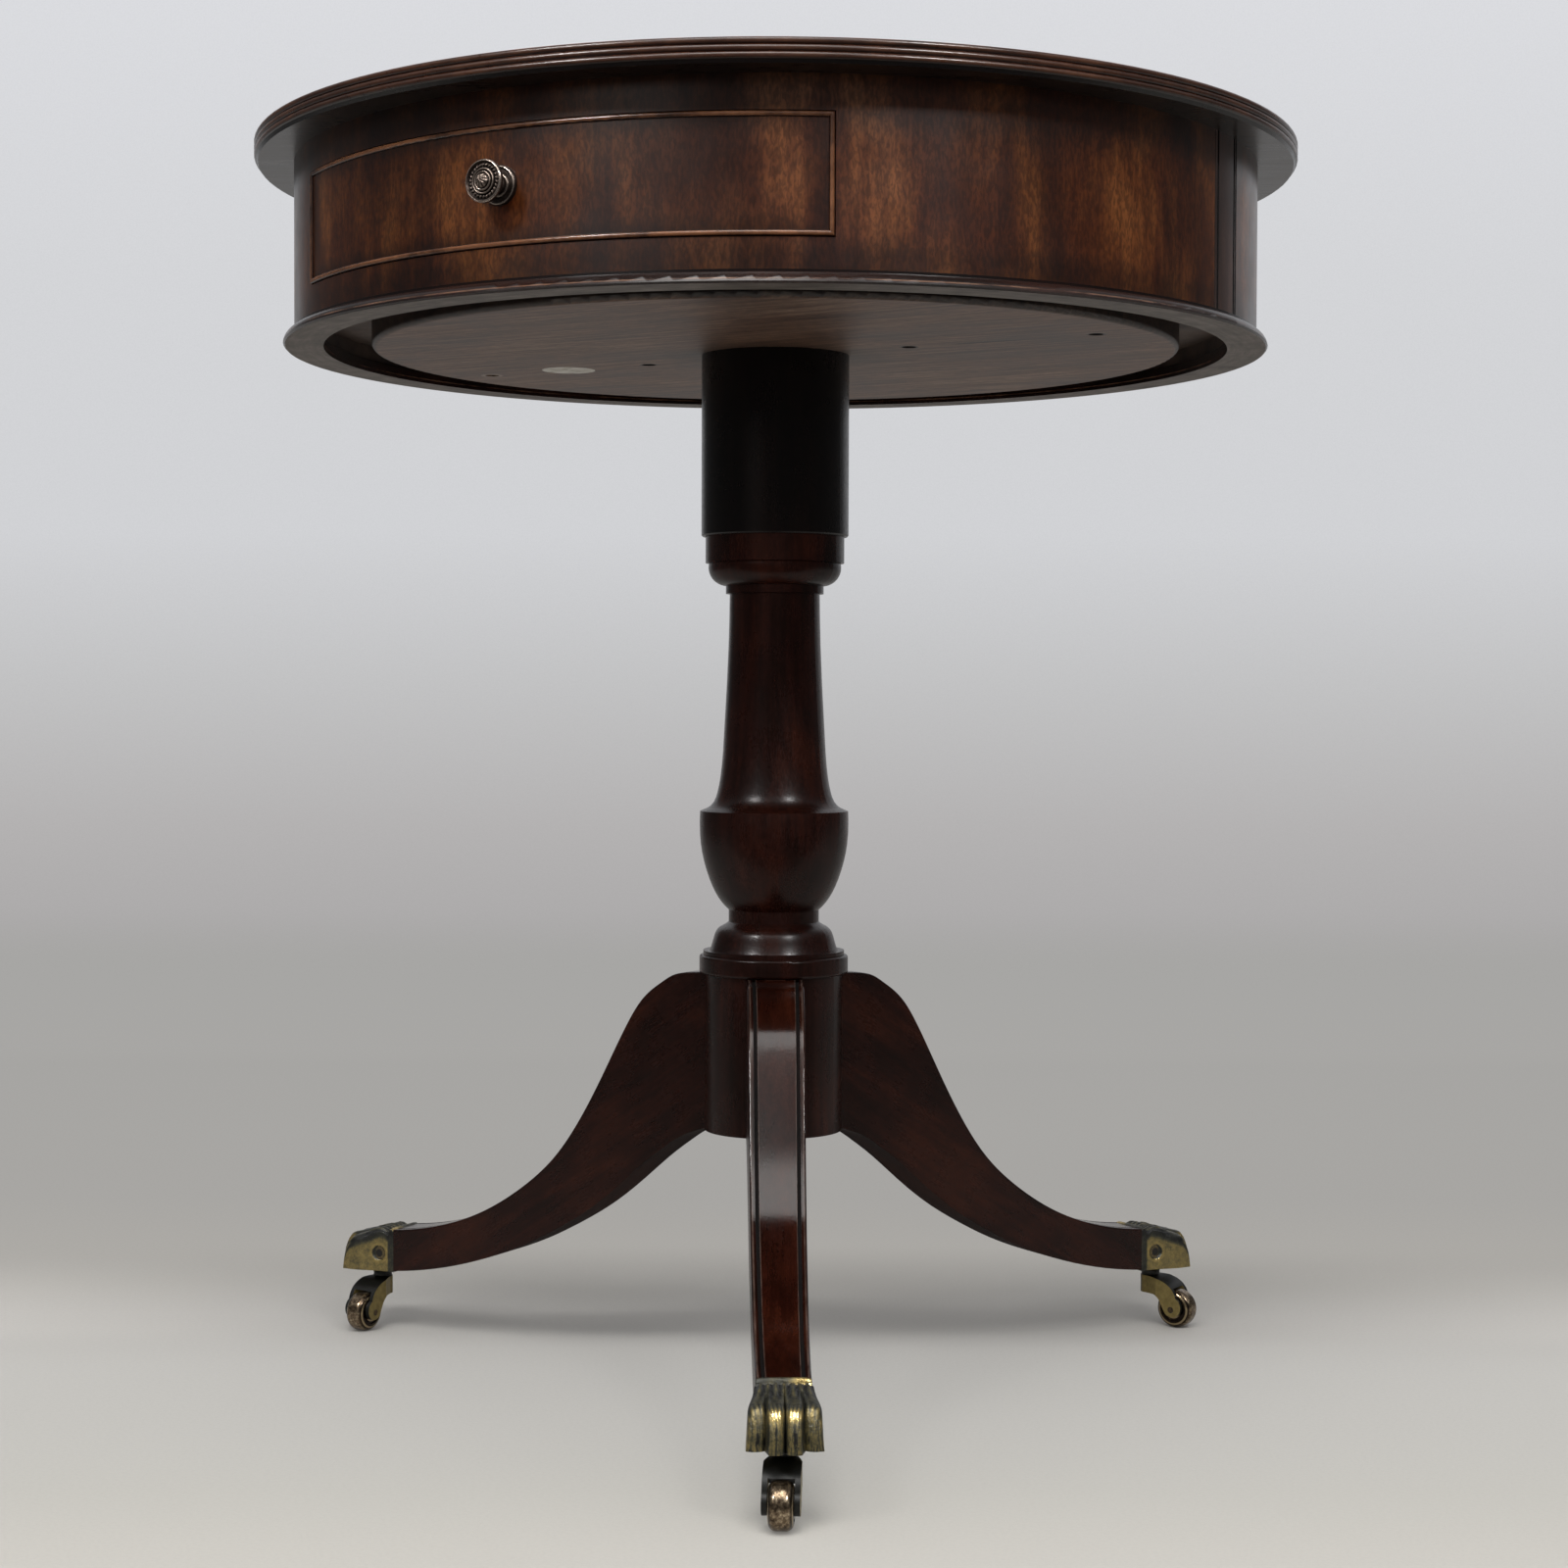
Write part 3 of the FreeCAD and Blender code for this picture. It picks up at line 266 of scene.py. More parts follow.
def wood_layers(sh, along, broad_scale, ribbon_scale, fleck_scale, fleck_length=0.2, wiggle=0.0):
    """Three layers of figure along +Z: broad patches, fine ribbons and short flecks."""
    broad = sh.noise(sh.stretch(along, 1, 1, 0.4), broad_scale, 2, 0.5, 0.4)
    ribbon = sh.noise(sh.stretch(along, 1, 1, 0.05), ribbon_scale, 4, 0.6, 0.1)
    flecks = sh.noise(sh.stretch(along, 1, 1, fleck_length), fleck_scale, 2, 0.55, wiggle)
    return broad, ribbon, flecks


def wood_color(sh, layers, stops, ribbon_depth=0.15, fleck_depth=0.2):
    """The colour of three layers of figure: a ramp of the first two, then ribbons and flecks on it."""
    broad, ribbon, flecks = layers
    value = sh.math("ADD", sh.times(broad, 0.8), sh.times(ribbon, 0.2))
    streak = sh.range(ribbon, 0.34, 0.66, 1 - ribbon_depth, 1 + ribbon_depth / 2)
    fleck = sh.range(flecks, 0.36, 0.66, 1 - fleck_depth, 1 + fleck_depth)
    return sh.tint(sh.tint(sh.ramp(value, stops), streak), fleck)


def veneer(name, drawer=False):
    """Polished figured mahogany veneer with upright grain, on the drum's wall."""
    sh = Shader(name)
    place = sh.place()
    x, y, z = sh.split(place)
    layers = wood_layers(sh, place, 34, 230, 640, 0.36, 0.5)
    color = wood_color(sh, layers, (
        (0.34, (54, 22, 8)), (0.45, (69, 32, 12)), (0.54, (88, 46, 19)), (0.68, (118, 69, 33))
    ), 0.10, 0.36)
    zones = sh.noise(sh.stretch(place, 1, 1, 0.25), 13, 2, 0.5)
    color = sh.darken(color, sh.range(zones, 0.56, 0.42), 0.62)
    blotch = sh.noise(place, 45, 4, 0.6)
    # Darker bands by the drawer's cockbeads, and on the frieze under the top's overhang and above the
    # moulding: partly grime, partly painted shade.
    if drawer:
        azimuth = sh.math("ABSOLUTE", sh.math("ARCTAN2", x, sh.times(y, -1.0)))
        height = sh.math("ABSOLUTE", sh.math("SUBTRACT", z, DRAWER_MIDDLE))
        grime_and_shade_border = sh.larger(sh.range(height, 0.018, 0.0285),
                           sh.range(azimuth, DRAWER_HALF * 0.88, DRAWER_HALF * 0.995))
    else:
        high = sh.range(z, FRIEZE_HIGH - 0.034, FRIEZE_HIGH - 0.012)
        low = sh.range(z, FRIEZE_LOW + 0.019, FRIEZE_LOW + 0.006, 0.0, 0.75)
        grime_and_shade_border = sh.larger(high, low)
    grime_and_shade_border = sh.times(grime_and_shade_border, sh.range(blotch, 0.2, 0.7, 0.75, 1.0))
    color = sh.darken(color, grime_and_shade_border, 0.42 if drawer else 0.30)
    inside = sh.range(sh.radius(x, y), FRIEZE_RADIUS - 0.003, FRIEZE_RADIUS - 0.005)
    bare = sh.ramp(blotch, ((0.35, (46, 33, 26)), (0.65, (78, 60, 48))))
    color = sh.mix(inside, color, bare)
    rough = sh.larger(sh.rise(0.24, blotch, 0.14), sh.times(inside, 0.6))
    sh.bump(layers[2], 0.08, 0.0003)
    return sh.finish(color, rough, specular=0.4)


def solid_mahogany(name, stops, azimuth=None, specular=0.17):
    """Dark polished mahogany. Its grain runs up, or down the leg at an azimuth."""
    sh = Shader(name)
    place = sh.place()
    along = place
    if azimuth is not None:
        tilt = sh.node("ShaderNodeVectorRotate", rotation_type="Y_AXIS")
        sh.feed(tilt.inputs["Vector"], sh.turned(place, azimuth))
        tilt.inputs["Angle"].default_value = math.radians(LEG_SLOPE)
        along = tilt.outputs[0]
    layers = wood_layers(sh, along, 38, 300, 1500)
    color = wood_color(sh, layers, stops, 0.16, 0.16)
    blotch = sh.noise(place, 60, 4, 0.6)
    color = sh.darken(color, sh.range(blotch, 0.48, 0.72), 0.8)
    flecks = layers[2]
    rough = sh.math("ADD", sh.rise(0.21, blotch, 0.14), sh.range(flecks, 0.5, 0.72, 0.0, 0.16))
    if azimuth is not None:
        color, rough = leg_panel(sh, sh.split(sh.turned(place, azimuth)), color, rough, blotch, flecks)
    sh.bump(flecks, 0.09, 0.0003)
    return sh.finish(color, rough, specular=specular)


def leg_panel(sh, local, color, rough, blotch, flecks):
    """A leg's upper face: a panel between two grooves darkened with dirt and painted shade, and rubbed
    edges lightened as painted highlights. Its underside is dull and darkened as painted shade.
    """
    radial, across, _ = local
    half = sh.line(radial, LEG_ROOT, CLAW_START, LEG_ROOT_HALF, LEG_END_HALF)
    side = sh.math("SUBTRACT", half, sh.math("ABSOLUTE", across))
    up = sh.up()
    facing = sh.range(up, 0.12, 0.3)
    panel = sh.times(sh.range(side, 0.0049, 0.0056), facing)
    color = sh.mix(panel, color, sh.mix(1.0, color, (1.12, 1.05, 1.0, 1), "MULTIPLY"))
    # The grooves are darkened: partly dirt, partly painted shade.
    groove = sh.times(sh.band(side, 0.0029, 0.0051, 0.0002), facing)
    color = sh.darken(color, groove, 0.18)
    # Lighter lines on the bead crests and the panel's edges: partly rubbed wood, partly painted highlight.
    crest = sh.larger(sh.band(side, 0.0009, 0.0017, 0.0004), sh.band(side, 0.0051, 0.0055, 0.0002))
    crest = sh.times(sh.times(crest, facing), sh.range(blotch, 0.3, 0.7, 0.2, 0.7))
    color = sh.mix(crest, color, srgb(104, 86, 78))
    polish = sh.math("ADD", sh.times(blotch, 0.10), sh.range(flecks, 0.5, 0.72, 0.06, 0.16))
    polish = sh.times(polish, facing)
    rough = sh.math("ADD", polish, sh.times(rough, sh.math("SUBTRACT", 1.0, facing)))
    # Painted shade: the leg's underside is darkened.
    under = sh.range(up, -0.12, -0.35)
    color = sh.darken(color, under, 0.7)
    dull = sh.times(sh.larger(under, groove), 0.85)
    return color, sh.larger(rough, dull)


def round_coordinates(sh, place, seam):
    """Length round the drum, height and distance from the axis. The length jumps at the seam's azimuth."""
    x, y, z = sh.split(sh.turned(place, seam))
    angle = sh.math("ARCTAN2", sh.times(y, -1.0), sh.times(x, -1.0))
    radius = sh.math("SQRT", sh.math("ADD", sh.times(x, x), sh.times(y, y)))
    return sh.times(angle, TOP_RADIUS), z, radius


def lipping_wood(name):
    """The reeded rim: grain round the edge with painted shade in the reeds' hollows, crossbanding and a
    dark line on top, raw fibres below, dark with painted shade.
    """
    sh = Shader(name)
    place = sh.place()
    length, z, radius = round_coordinates(sh, place, RIM_SEAM)
    layers = wood_layers(sh, sh.join(radius, z, length), 30, 420, 1700)
    edge = wood_color(sh, layers, (
        (0.35, (30, 12, 7)), (0.5, (42, 19, 11)), (0.66, (58, 30, 19))
    ), 0.15, 0.15)
    rubbed = sh.range(sh.noise(place, 30, 4, 0.6), 0.35, 0.7, 0.15, 0.65)
    reed_crest = sh.range(radius, TOP_RADIUS - 0.0006, TOP_RADIUS - 0.00005)
    edge = sh.mix(sh.times(reed_crest, rubbed), edge, srgb(96, 62, 44))
    # Painted shade: the hollows between the reeds are darkened.
    reed_hollow_shade = sh.range(radius, TOP_RADIUS - 0.0008, TOP_RADIUS - 0.0012)
    below_top = sh.range(z, TOP_HEIGHT, TOP_HEIGHT - 0.0012)
    edge = sh.darken(edge, sh.times(reed_hollow_shade, below_top), 0.16)
    crossed = wood_layers(sh, sh.join(length, z, radius), 40, 300, 1500)
    top = wood_color(sh, crossed, (
        (0.35, (58, 27, 15)), (0.5, (84, 42, 23)), (0.66, (110, 60, 34))
    ), 0.15, 0.2)
    top = sh.darken(top, sh.band(radius, 0.2600, 0.2616, 0.0003), 0.25)
    fibres = sh.noise(sh.stretch(sh.turned(place, VIEW_TURN), 1.0, 0.12, 1.0), 240, 5, 0.65)
    # The underside's dark colour is painted shade on raw fibres.
    under = sh.ramp(fibres, ((0.3, (24, 15, 11)), (0.5, (36, 25, 19)), (0.72, (54, 42, 35))))
    up = sh.up()
    color = sh.mix(sh.range(up, 0.6, 0.9), edge, top)
    below = sh.range(up, -0.6, -0.9)
    color = sh.mix(below, color, under)
    sh.bump(sh.mix(below, layers[2], fibres), 0.12, 0.0003)
    return sh.finish(color, sh.rise(0.22, fibres, 0.14), specular=0.4)


def top_veneer(name):
    """The top's field: straight grain along X with a soft ribbon figure."""
    sh = Shader(name)
    place = sh.place()
    x, y, z = sh.split(place)
    layers = wood_layers(sh, sh.join(y, z, sh.times(x, 0.5)), 17, 200, 1300)
    color = wood_color(sh, layers, (
        (0.32, (76, 36, 19)), (0.45, (93, 47, 25)), (0.56, (107, 57, 31)), (0.68, (124, 70, 39))
    ), 0.15, 0.2)
    blotch = sh.noise(place, 12, 4, 0.6)
    color = sh.darken(color, sh.range(blotch, 0.5, 0.75), 0.9)
    sh.bump(layers[2], 0.1, 0.0003)
    return sh.finish(color, sh.rise(0.2, blotch, 0.14))


def moulding_wood(name):
    """The base moulding: a dark bead with a rubbed crest lightened as a painted highlight, a dark line of
    painted shade at its top, and a rough flat underside.
    """
    sh = Shader(name)
    place = sh.place()
    length, z, radius = round_coordinates(sh, place, 180.0)
    layers = wood_layers(sh, sh.join(radius, z, length), 30, 420, 1700)
    color = wood_color(sh, layers, (
        (0.35, (22, 9, 6)), (0.5, (31, 13, 8)), (0.66, (44, 22, 15))
    ), 0.15, 0.15)
    # The bead's crest is rubbed and lightened as a painted highlight.
    rubbed = sh.range(sh.noise(place, 26, 4, 0.6), 0.36, 0.66, 0.05, 0.7)
    crest = sh.times(sh.band(z, 0.6137, 0.6143, 0.0003), rubbed)
    color = sh.mix(crest, color, srgb(148, 110, 88))
    # Painted shade: a dark line at the top of the moulding, under the frieze.
    color = sh.darken(color, sh.range(z, FRIEZE_LOW - 0.0018, FRIEZE_LOW - 0.0008), 0.4)
    dirt = sh.noise(place, 55, 5, 0.65)
    scrape = sh.noise(sh.join(radius, z, sh.times(length, 0.1)), 320, 4, 0.65)
    marks = sh.math("ADD", sh.times(dirt, 0.5), sh.times(scrape, 0.5))
    under = sh.ramp(marks, ((0.34, (66, 57, 50)), (0.5, (96, 86, 78)), (0.68, (126, 116, 108))))
    up = sh.up()
    below = sh.range(up, -0.8, -0.95)
    color = sh.mix(below, color, under)
    sh.bump(sh.times(dirt, below), 0.15, 0.0004)
    return sh.finish(color, sh.range(up, -0.8, -0.95, 0.27, 0.55), specular=0.35)


def board_wood(name):
    """The bearing board's dull brown underside, rubbed and stained, with dark screw wells, a split, and
    painted shade about the pillar's head.
    """
    sh = Shader(name)
    place = sh.place()
    x, y, _ = sh.split(place)

    def from_screw(screw_x):
        return sh.vector("LENGTH", sh.vector("SUBTRACT", sh.join(x, y, 0.0), (screw_x, 0.0, 0.0)))

    streaks = sh.noise(sh.stretch(place, 0.05, 1.0, 1.0), 260, 5, 0.6)
    clouds = sh.noise(sh.stretch(place, 0.6, 1.0, 1.0), 15, 6, 0.68)
    value = sh.math("ADD", sh.times(streaks, 0.5), sh.times(clouds, 0.5))
    color = sh.ramp(value, (
        (0.36, (50, 32, 22)), (0.45, (80, 56, 42)), (0.53, (104, 77, 60)), (0.64, (136, 112, 94))
    ))
    fibres = sh.noise(sh.stretch(place, 0.22, 1.0, 1.0), 700, 3, 0.6)
    color = sh.tint(color, sh.range(fibres, 0.34, 0.66, 0.72, 1.24))
    wander = sh.spread(sh.noise(place, 420, 3, 0.6), 0.004)
    inner, outer = STRAP_SCREWS
    worn_ring = sh.band(sh.math("ADD", from_screw(-outer), wander), 0.0046, 0.0068, 0.0008)
    color = sh.mix(worn_ring, color, srgb(140, 122, 104))
    split_line = sh.math("ABSOLUTE", sh.math("ADD", y, wander))
    split = sh.times(sh.range(split_line, 0.0030, 0.0014), sh.band(x, 0.118, 0.156, 0.006))
    for screw_x in (inner, outer, -inner):
        split = sh.larger(split, sh.range(from_screw(screw_x), 0.0062, 0.0048))
    color = sh.darken(color, split, 0.12)
    radius = sh.radius(x, y)
    color = sh.darken(color, sh.range(radius, 0.2345, 0.2370), 0.25)
    # Painted shade: darker about the pillar's head.
    color = sh.darken(color, sh.range(radius, 0.075, 0.046), 0.6)
    sh.bump(sh.math("SUBTRACT", streaks, sh.times(split, 2.0)), 0.2, 0.0005)
    return sh.finish(color, sh.rise(0.42, clouds, 0.2))


def strip_wood(name):
    """A flush strip: an inlaid dark line at each edge, and a ragged gap on its rear side."""
    sh = Shader(name)
    place = sh.place()
    _, y, _ = sh.split(place)
    color = wood_color(sh, wood_layers(sh, place, 38, 330, 1600), (
        (0.35, (38, 20, 14)), (0.5, (54, 32, 24)), (0.66, (74, 47, 37))
    ), 0.2, 0.25)
    wander = sh.spread(sh.noise(place, 160, 4, 0.7), 0.0024)
    off_middle = sh.math("ABSOLUTE", y)
    lines = sh.band(off_middle, 0.0111, 0.0134, 0.0003)
    edge = sh.range(off_middle, 0.0156, 0.0161)
    ragged = sh.band(sh.math("ADD", y, wander), 0.0142, 0.0160, 0.0003)
    gaps = sh.larger(lines, sh.larger(edge, ragged))
    return sh.finish(sh.darken(color, gaps, 0.04), sh.rise(0.28, gaps, 0.7), specular=0.4)


def bead_wood(name):
    """A cockbead: dark sides and a crest rubbed unevenly down to lighter wood, lightened further as a
    painted highlight.
    """
    sh = Shader(name)
    place = sh.place()
    x, y, _ = sh.split(place)
    layers = wood_layers(sh, place, 60, 420, 1700)
    color = wood_color(sh, layers, ((0.35, (30, 13, 7)), (0.66, (54, 28, 16))), 0.15, 0.15)
    # The crest is rubbed to lighter wood and lightened further as a painted highlight.
    rubbed = sh.range(sh.noise(place, 34, 4, 0.65), 0.34, 0.66, 0.08, 0.8)
    proud = sh.range(sh.radius(x, y), FRIEZE_RADIUS + 0.0006, FRIEZE_RADIUS + 0.00136)
    return sh.finish(sh.mix(sh.times(proud, rubbed), color, srgb(142, 92, 60)), 0.24)


def lining_wood(name, grain, dark=(118, 84, 54), light=(172, 134, 94)):
    """Bare wood inside the drum and drawer, with its grain along X or Y."""
    sh = Shader(name)
    place = sh.place()
    x, y, z = sh.split(place)
    along = (y, z, x) if grain == "x" else (x, z, y)
    layers = wood_layers(sh, sh.join(*along), 24, 260, 1300)
    color = wood_color(sh, layers, ((0.35, dark), (0.66, light)), 0.2, 0.2)
    dirt = sh.noise(place, 30, 4, 0.6)
    color = sh.darken(color, sh.range(dirt, 0.5, 0.75), 0.75)
    sh.bump(layers[2], 0.15, 0.0004)
    return sh.finish(color, sh.rise(0.55, dirt, 0.2))


def plug_wood(name):
    """The pale round plug under the board, smudged and with fine saw marks."""
    sh = Shader(name)
    place = sh.place()
    dirt = sh.noise(place, 160, 4, 0.65)
    lines = sh.noise(sh.stretch(place, 0.1, 1, 1), 600, 3, 0.5)
    color = sh.ramp(dirt, ((0.3, (168, 158, 142)), (0.5, (212, 206, 196)), (0.7, (232, 228, 220))))
    color = sh.darken(color, sh.range(lines, 0.5, 0.7), 0.86)
    sh.bump(lines, 0.15, 0.0003)
    return sh.finish(color, 0.6)


def iron(name):
    """Dark oiled iron, with rust in places."""
    sh = Shader(name)
    place = sh.place()
    rust = sh.noise(place, 260, 5, 0.65)
    color = sh.ramp(rust, ((0.4, (30, 26, 24)), (0.56, (44, 36, 31)), (0.7, (72, 46, 32))))
    sh.bump(rust, 0.2, 0.0003)
    return sh.finish(color, sh.rise(0.35, rust, 0.3), 0.5)


def toe_screw(name):
    """A toe's screw: a nearly black disc in the middle of a dull brass rim."""
    sh = Shader(name)
    place = sh.place()
    away = None
    for _, azimuth, _ in LEGS:
        radial, _, z = sh.split(sh.turned(place, azimuth))
        far = sh.vector("LENGTH", sh.join(sh.math("SUBTRACT", radial, SCREW_X), 0.0,
                                          sh.math("SUBTRACT", z, SCREW_Z)))
        away = far if away is None else sh.math("MINIMUM", away, far)
    dirt = sh.noise(place, 900, 4, 0.6)
    rim = sh.ramp(dirt, ((0.35, (52, 44, 30)), (0.65, (104, 88, 54))))
    color = sh.mix(sh.range(away, 0.0022, 0.0028), srgb(20, 16, 13), rim)
    sh.bump(dirt, 0.2, 0.0002)
    return sh.finish(color, 0.45, 0.3)


PATINA = (
    (0.08, (15, 15, 12)), (0.24, (40, 40, 32)), (0.38, (68, 64, 44)), (0.52, (110, 97, 58)),
    (0.66, (142, 124, 76)), (0.80, (206, 180, 122)), (0.96, (250, 232, 190))
)


def aged_brass(name):
    """Old brass coloured by its wear: dark in the hollows, olive, then bright gold on the crests."""
    sh = Shader(name)
    place = sh.place()
    patina = sh.noise(place, 240, 4, 0.6)
    pits = sh.noise(place, 1300, 3, 0.6)
    dents = sh.noise(place, 520, 2, 0.6)
    value = sh.math("ADD", sh.attribute("wear"), sh.spread(patina, 0.52))
    value = sh.math("ADD", value, sh.spread(pits, 0.34))
    height = sh.split(place)[2]
    lanes = sh.join(sh.attribute("across"), sh.times(height, 0.16), 0.0)
    scratch = sh.range(sh.noise(lanes, 620, 3, 0.7), 0.52, 0.62)
    front = sh.range(height, CLAW_BOTTOM + 0.0185, CLAW_BOTTOM + 0.0115)
    dirt = sh.times(scratch, sh.times(front, sh.attribute("nail")))
    value = sh.math("SUBTRACT", value, sh.times(dirt, 0.30))
    bare = sh.range(value, 0.5, 0.8)
    sh.bump(sh.math("ADD", sh.times(pits, 0.3), dents), 0.6, 0.0006)
    return sh.finish(sh.ramp(value, PATINA), sh.rise(0.44, bare, -0.22), sh.rise(0.35, bare, 0.6))


def fork_brass(name, azimuth):
    """A caster's fork: olive brass on its cheeks, and nearly black on its other faces."""
    sh = Shader(name)
    patina = sh.noise(sh.place(), 300, 4, 0.6)
    normal = sh.node("ShaderNodeTexCoord").outputs["Normal"]
    _, across, _ = sh.split(sh.turned(normal, azimuth))
    cheek = sh.range(sh.math("ABSOLUTE", across), 0.55, 0.85)
    value = sh.math("ADD", sh.rise(0.06, cheek, 0.50), sh.spread(patina, 0.3))
    sh.bump(patina, 0.12, 0.0002)
    return sh.finish(sh.ramp(value, PATINA), 0.42, sh.times(cheek, 0.4), 0.25)


def antique_bronze(name):
    """Dark bronze, rubbed bright on the high rims."""
    sh = Shader(name)
    patina = sh.noise(sh.place(), 700, 5, 0.65)
    value = sh.math("ADD", sh.attribute("wear"), sh.spread(patina, 0.4))
    color = sh.ramp(value, (
        (0.15, (22, 18, 16)), (0.45, (70, 59, 53)), (0.65, (128, 114, 104)), (0.85, (186, 174, 164))
    ))
    sh.bump(patina, 0.1, 0.0002)
    return sh.finish(color, sh.rise(0.42, sh.range(value, 0.5, 0.8), -0.18), 0.85)


def axle_brass(name):
    """Dirty brass of the small turned pieces."""
    sh = Shader(name)
    patina = sh.noise(sh.place(), 500, 4, 0.6)
    color = sh.ramp(patina, ((0.35, (30, 24, 18)), (0.5, (66, 53, 38)), (0.68, (104, 86, 60))))
    sh.bump(patina, 0.1, 0.0002)
    return sh.finish(color, 0.4, 0.6)


def wheel_brass(name, azimuth, centre):
    """A caster's wheel: a rubbed brown-gold tread, and dark faces with two bright rings, rubbed rims
    lightened as painted highlights.
    """
    sh = Shader(name)
    place = sh.place()
    along, across, up = sh.split(sh.turned(place, azimuth, centre))
    radius = sh.vector("LENGTH", sh.join(along, 0.0, up))
    patina = sh.noise(place, 420, 5, 0.7)
    tread = sh.ramp(patina, ((0.34, (52, 42, 34)), (0.5, (108, 92, 73)), (0.66, (168, 152, 128))))
    face = sh.ramp(patina, ((0.36, (16, 12, 10)), (0.56, (40, 31, 24)), (0.72, (80, 64, 46))))
    side = sh.range(sh.math("ABSOLUTE", across), 0.0042, 0.0056)
    # Two bright rings on the faces: rubbed rims, lightened as painted highlights.
    outer, inner = sh.band(radius, 0.0092, 0.0103, 0.0003), sh.band(radius, 0.0052, 0.0060, 0.0002)
    rings = sh.times(sh.larger(outer, inner), sh.times(side, 0.7))
    color = sh.mix(rings, sh.mix(side, tread, face), srgb(176, 156, 122))
    sh.bump(patina, 0.12, 0.0002)
    return sh.finish(color, sh.rise(0.14, patina, 0.2), 0.9)


def dress(material, *nodes):
    """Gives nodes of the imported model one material."""
    for node in nodes:
        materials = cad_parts[node].data.materials
        materials.clear()
        materials.append(material)


def new_piece(name, mesh, place, sharp, material, body):
    """Puts a mesh in its place on a body, shaded smooth up to an angle between its faces."""
    mesh.transform(place)
    mesh.polygons.foreach_set("use_smooth", [True] * len(mesh.polygons))
    mesh.set_sharp_from_angle(angle=math.radians(sharp))
    mesh.materials.append(material)
    item = bpy.data.objects.new(name, mesh)
    bpy.context.scene.collection.objects.link(item)
    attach(item, body)
    return item


def mesh_data(name, mesh):
    """The working mesh as mesh data, with its faces' normals outwards."""
    bmesh.ops.recalc_face_normals(mesh, faces=mesh.faces)
    data = bpy.data.meshes.new(name)
    mesh.to_mesh(data)
    mesh.free()
    return data


def lerp_table(table, value):
    """A straight-line reading of a table of pairs."""
    for (a0, b0), (a1, b1) in zip(table, table[1:]):
        if value <= a1:
            share = (value - a0) / (a1 - a0)
            return b0 + (b1 - b0) * share
    return table[-1][1]


def ease(value, low, high):
    """A smooth step of a number between two limits."""
    share = min(max((value - low) / (high - low), 0.0), 1.0)
    return share * share * (3 - 2 * share)


def bell(value, middle, width):
    return math.exp(-((value - middle) / width) ** 2)


# The paw's form. Places along it run from 0 at the leg to 1 at the nails, and
# places across it from -1 to 1. The tables give shares of its height and width.
# The seat is the side screw's, in metres, and the counts are the grid's.
CLAW_TOP = (
    (0.0, 0.955), (0.02, 0.985), (0.045, 1.0), (0.07, 0.98), (0.085, 0.90), (0.105, 0.865), (0.13, 0.895),
    (0.18, 0.95), (0.25, 0.985), (0.33, 0.985), (0.41, 0.955), (0.50, 0.905), (0.58, 0.865), (0.66, 0.835),
    (0.74, 0.80), (0.80, 0.76), (0.86, 0.695), (0.91, 0.61), (0.95, 0.51), (0.98, 0.40), (1.0, 0.26)
)
CLAW_SIDE = (
    (0.0, 0.732), (0.12, 0.738), (0.22, 0.765), (0.32, 0.805), (0.44, 0.865), (0.56, 0.925),
    (0.66, 0.968), (0.76, 1.0), (1.0, 1.0)
)
INNER_TOE = 0.26
OUTER_TOE = 0.76
TOE_SPLIT = 0.52
TOES = ((-OUTER_TOE, 0.24), (-INNER_TOE, 0.26), (INNER_TOE, 0.26), (OUTER_TOE, 0.24))
RIB_END = 0.100
GROOVE_END = 0.140
FLANK = 0.93
SEAT_RADIUS = 0.0046
SEAT_RIM = 0.0020
LONG_COUNT = 112
WIDE_COUNT = 132
SIDE_COUNT = 40
FRONT_COUNT = 6


def toe_shape(t):
    """How high a point across the claw stands on its toe: one on the crest, zero between toes."""
    best = 0.0
    for centre, half in TOES:
        share = abs(t - centre) / half
        if abs(t) > OUTER_TOE:
            share *= 0.5
        if share < 1:
            best = max(best, math.sqrt(1 - share ** 3))
    return best


def claw_reach(t):
    """How far forward the claw goes at a place across it, as a share of its length."""
    a = abs(t)
    if a > TOE_SPLIT:
        return 0.80 + 0.045 * math.sqrt(max(0.0, 1 - ((a - OUTER_TOE) / 0.26) ** 2))
    base = 0.91 + 0.09 * math.sqrt(max(0.0, 1 - ((a - 0.27) / 0.27) ** 2))
    return base - 0.11 * ease(a, 0.42, TOE_SPLIT)


def tendon_wave(t):
    """Long ridges on the back of the paw, from -1 to 1."""
    return math.cos(2 * math.pi * (abs(t) * 3.9 + 0.45))


def claw_relief(u, t):
    """Depth of carving below the plain form, in metres, at shares along and across."""
    outer = ease(abs(t), 0.40, 0.55)
    front = ease(u, 0.28, 0.66)
    gap = 0.0005 + (0.0011 + 0.0010 * outer) * front * (1 - 0.65 * ease(u, 0.84, 0.93))
    depth = (1 - toe_shape(t)) * gap * ease(u, 0.09, 0.16)
    knuckle = 0.0009 * bell(u, 0.86, 0.07) * toe_shape(t)
    depth += 0.0005 * (1 + tendon_wave(t)) * ease(u, 0.10, 0.18) * (1 - front) - knuckle
    fur = math.sin(t * 46 + u * 30 * (1 if t > 0 else -1))
    depth += 0.00014 * fur * ease(u, 0.12, 0.2) * (1 - ease(u, 0.5, 0.62))
    depth += 0.00020 * fur_strokes(u, t) * bell(u, 0.84, 0.08)
    return depth + 0.00038 * nail_lines(t) * ease(u, 0.9, 0.97)


def fur_strokes(u, t):
    """Short slanting strokes that spread from each knuckle."""
    side = (abs(t) - INNER_TOE) * 60 if abs(t) < TOE_SPLIT else (abs(t) - OUTER_TOE) * 44
    return math.sin(side + (u - 0.6) * 22)


def nail_lines(t):
    """Fine upright grooves down the front of the toes."""
    return max(0.0, math.sin(abs(t) * 29 + 0.9)) ** 4 * (1 if abs(t) < 0.56 else 0.5)


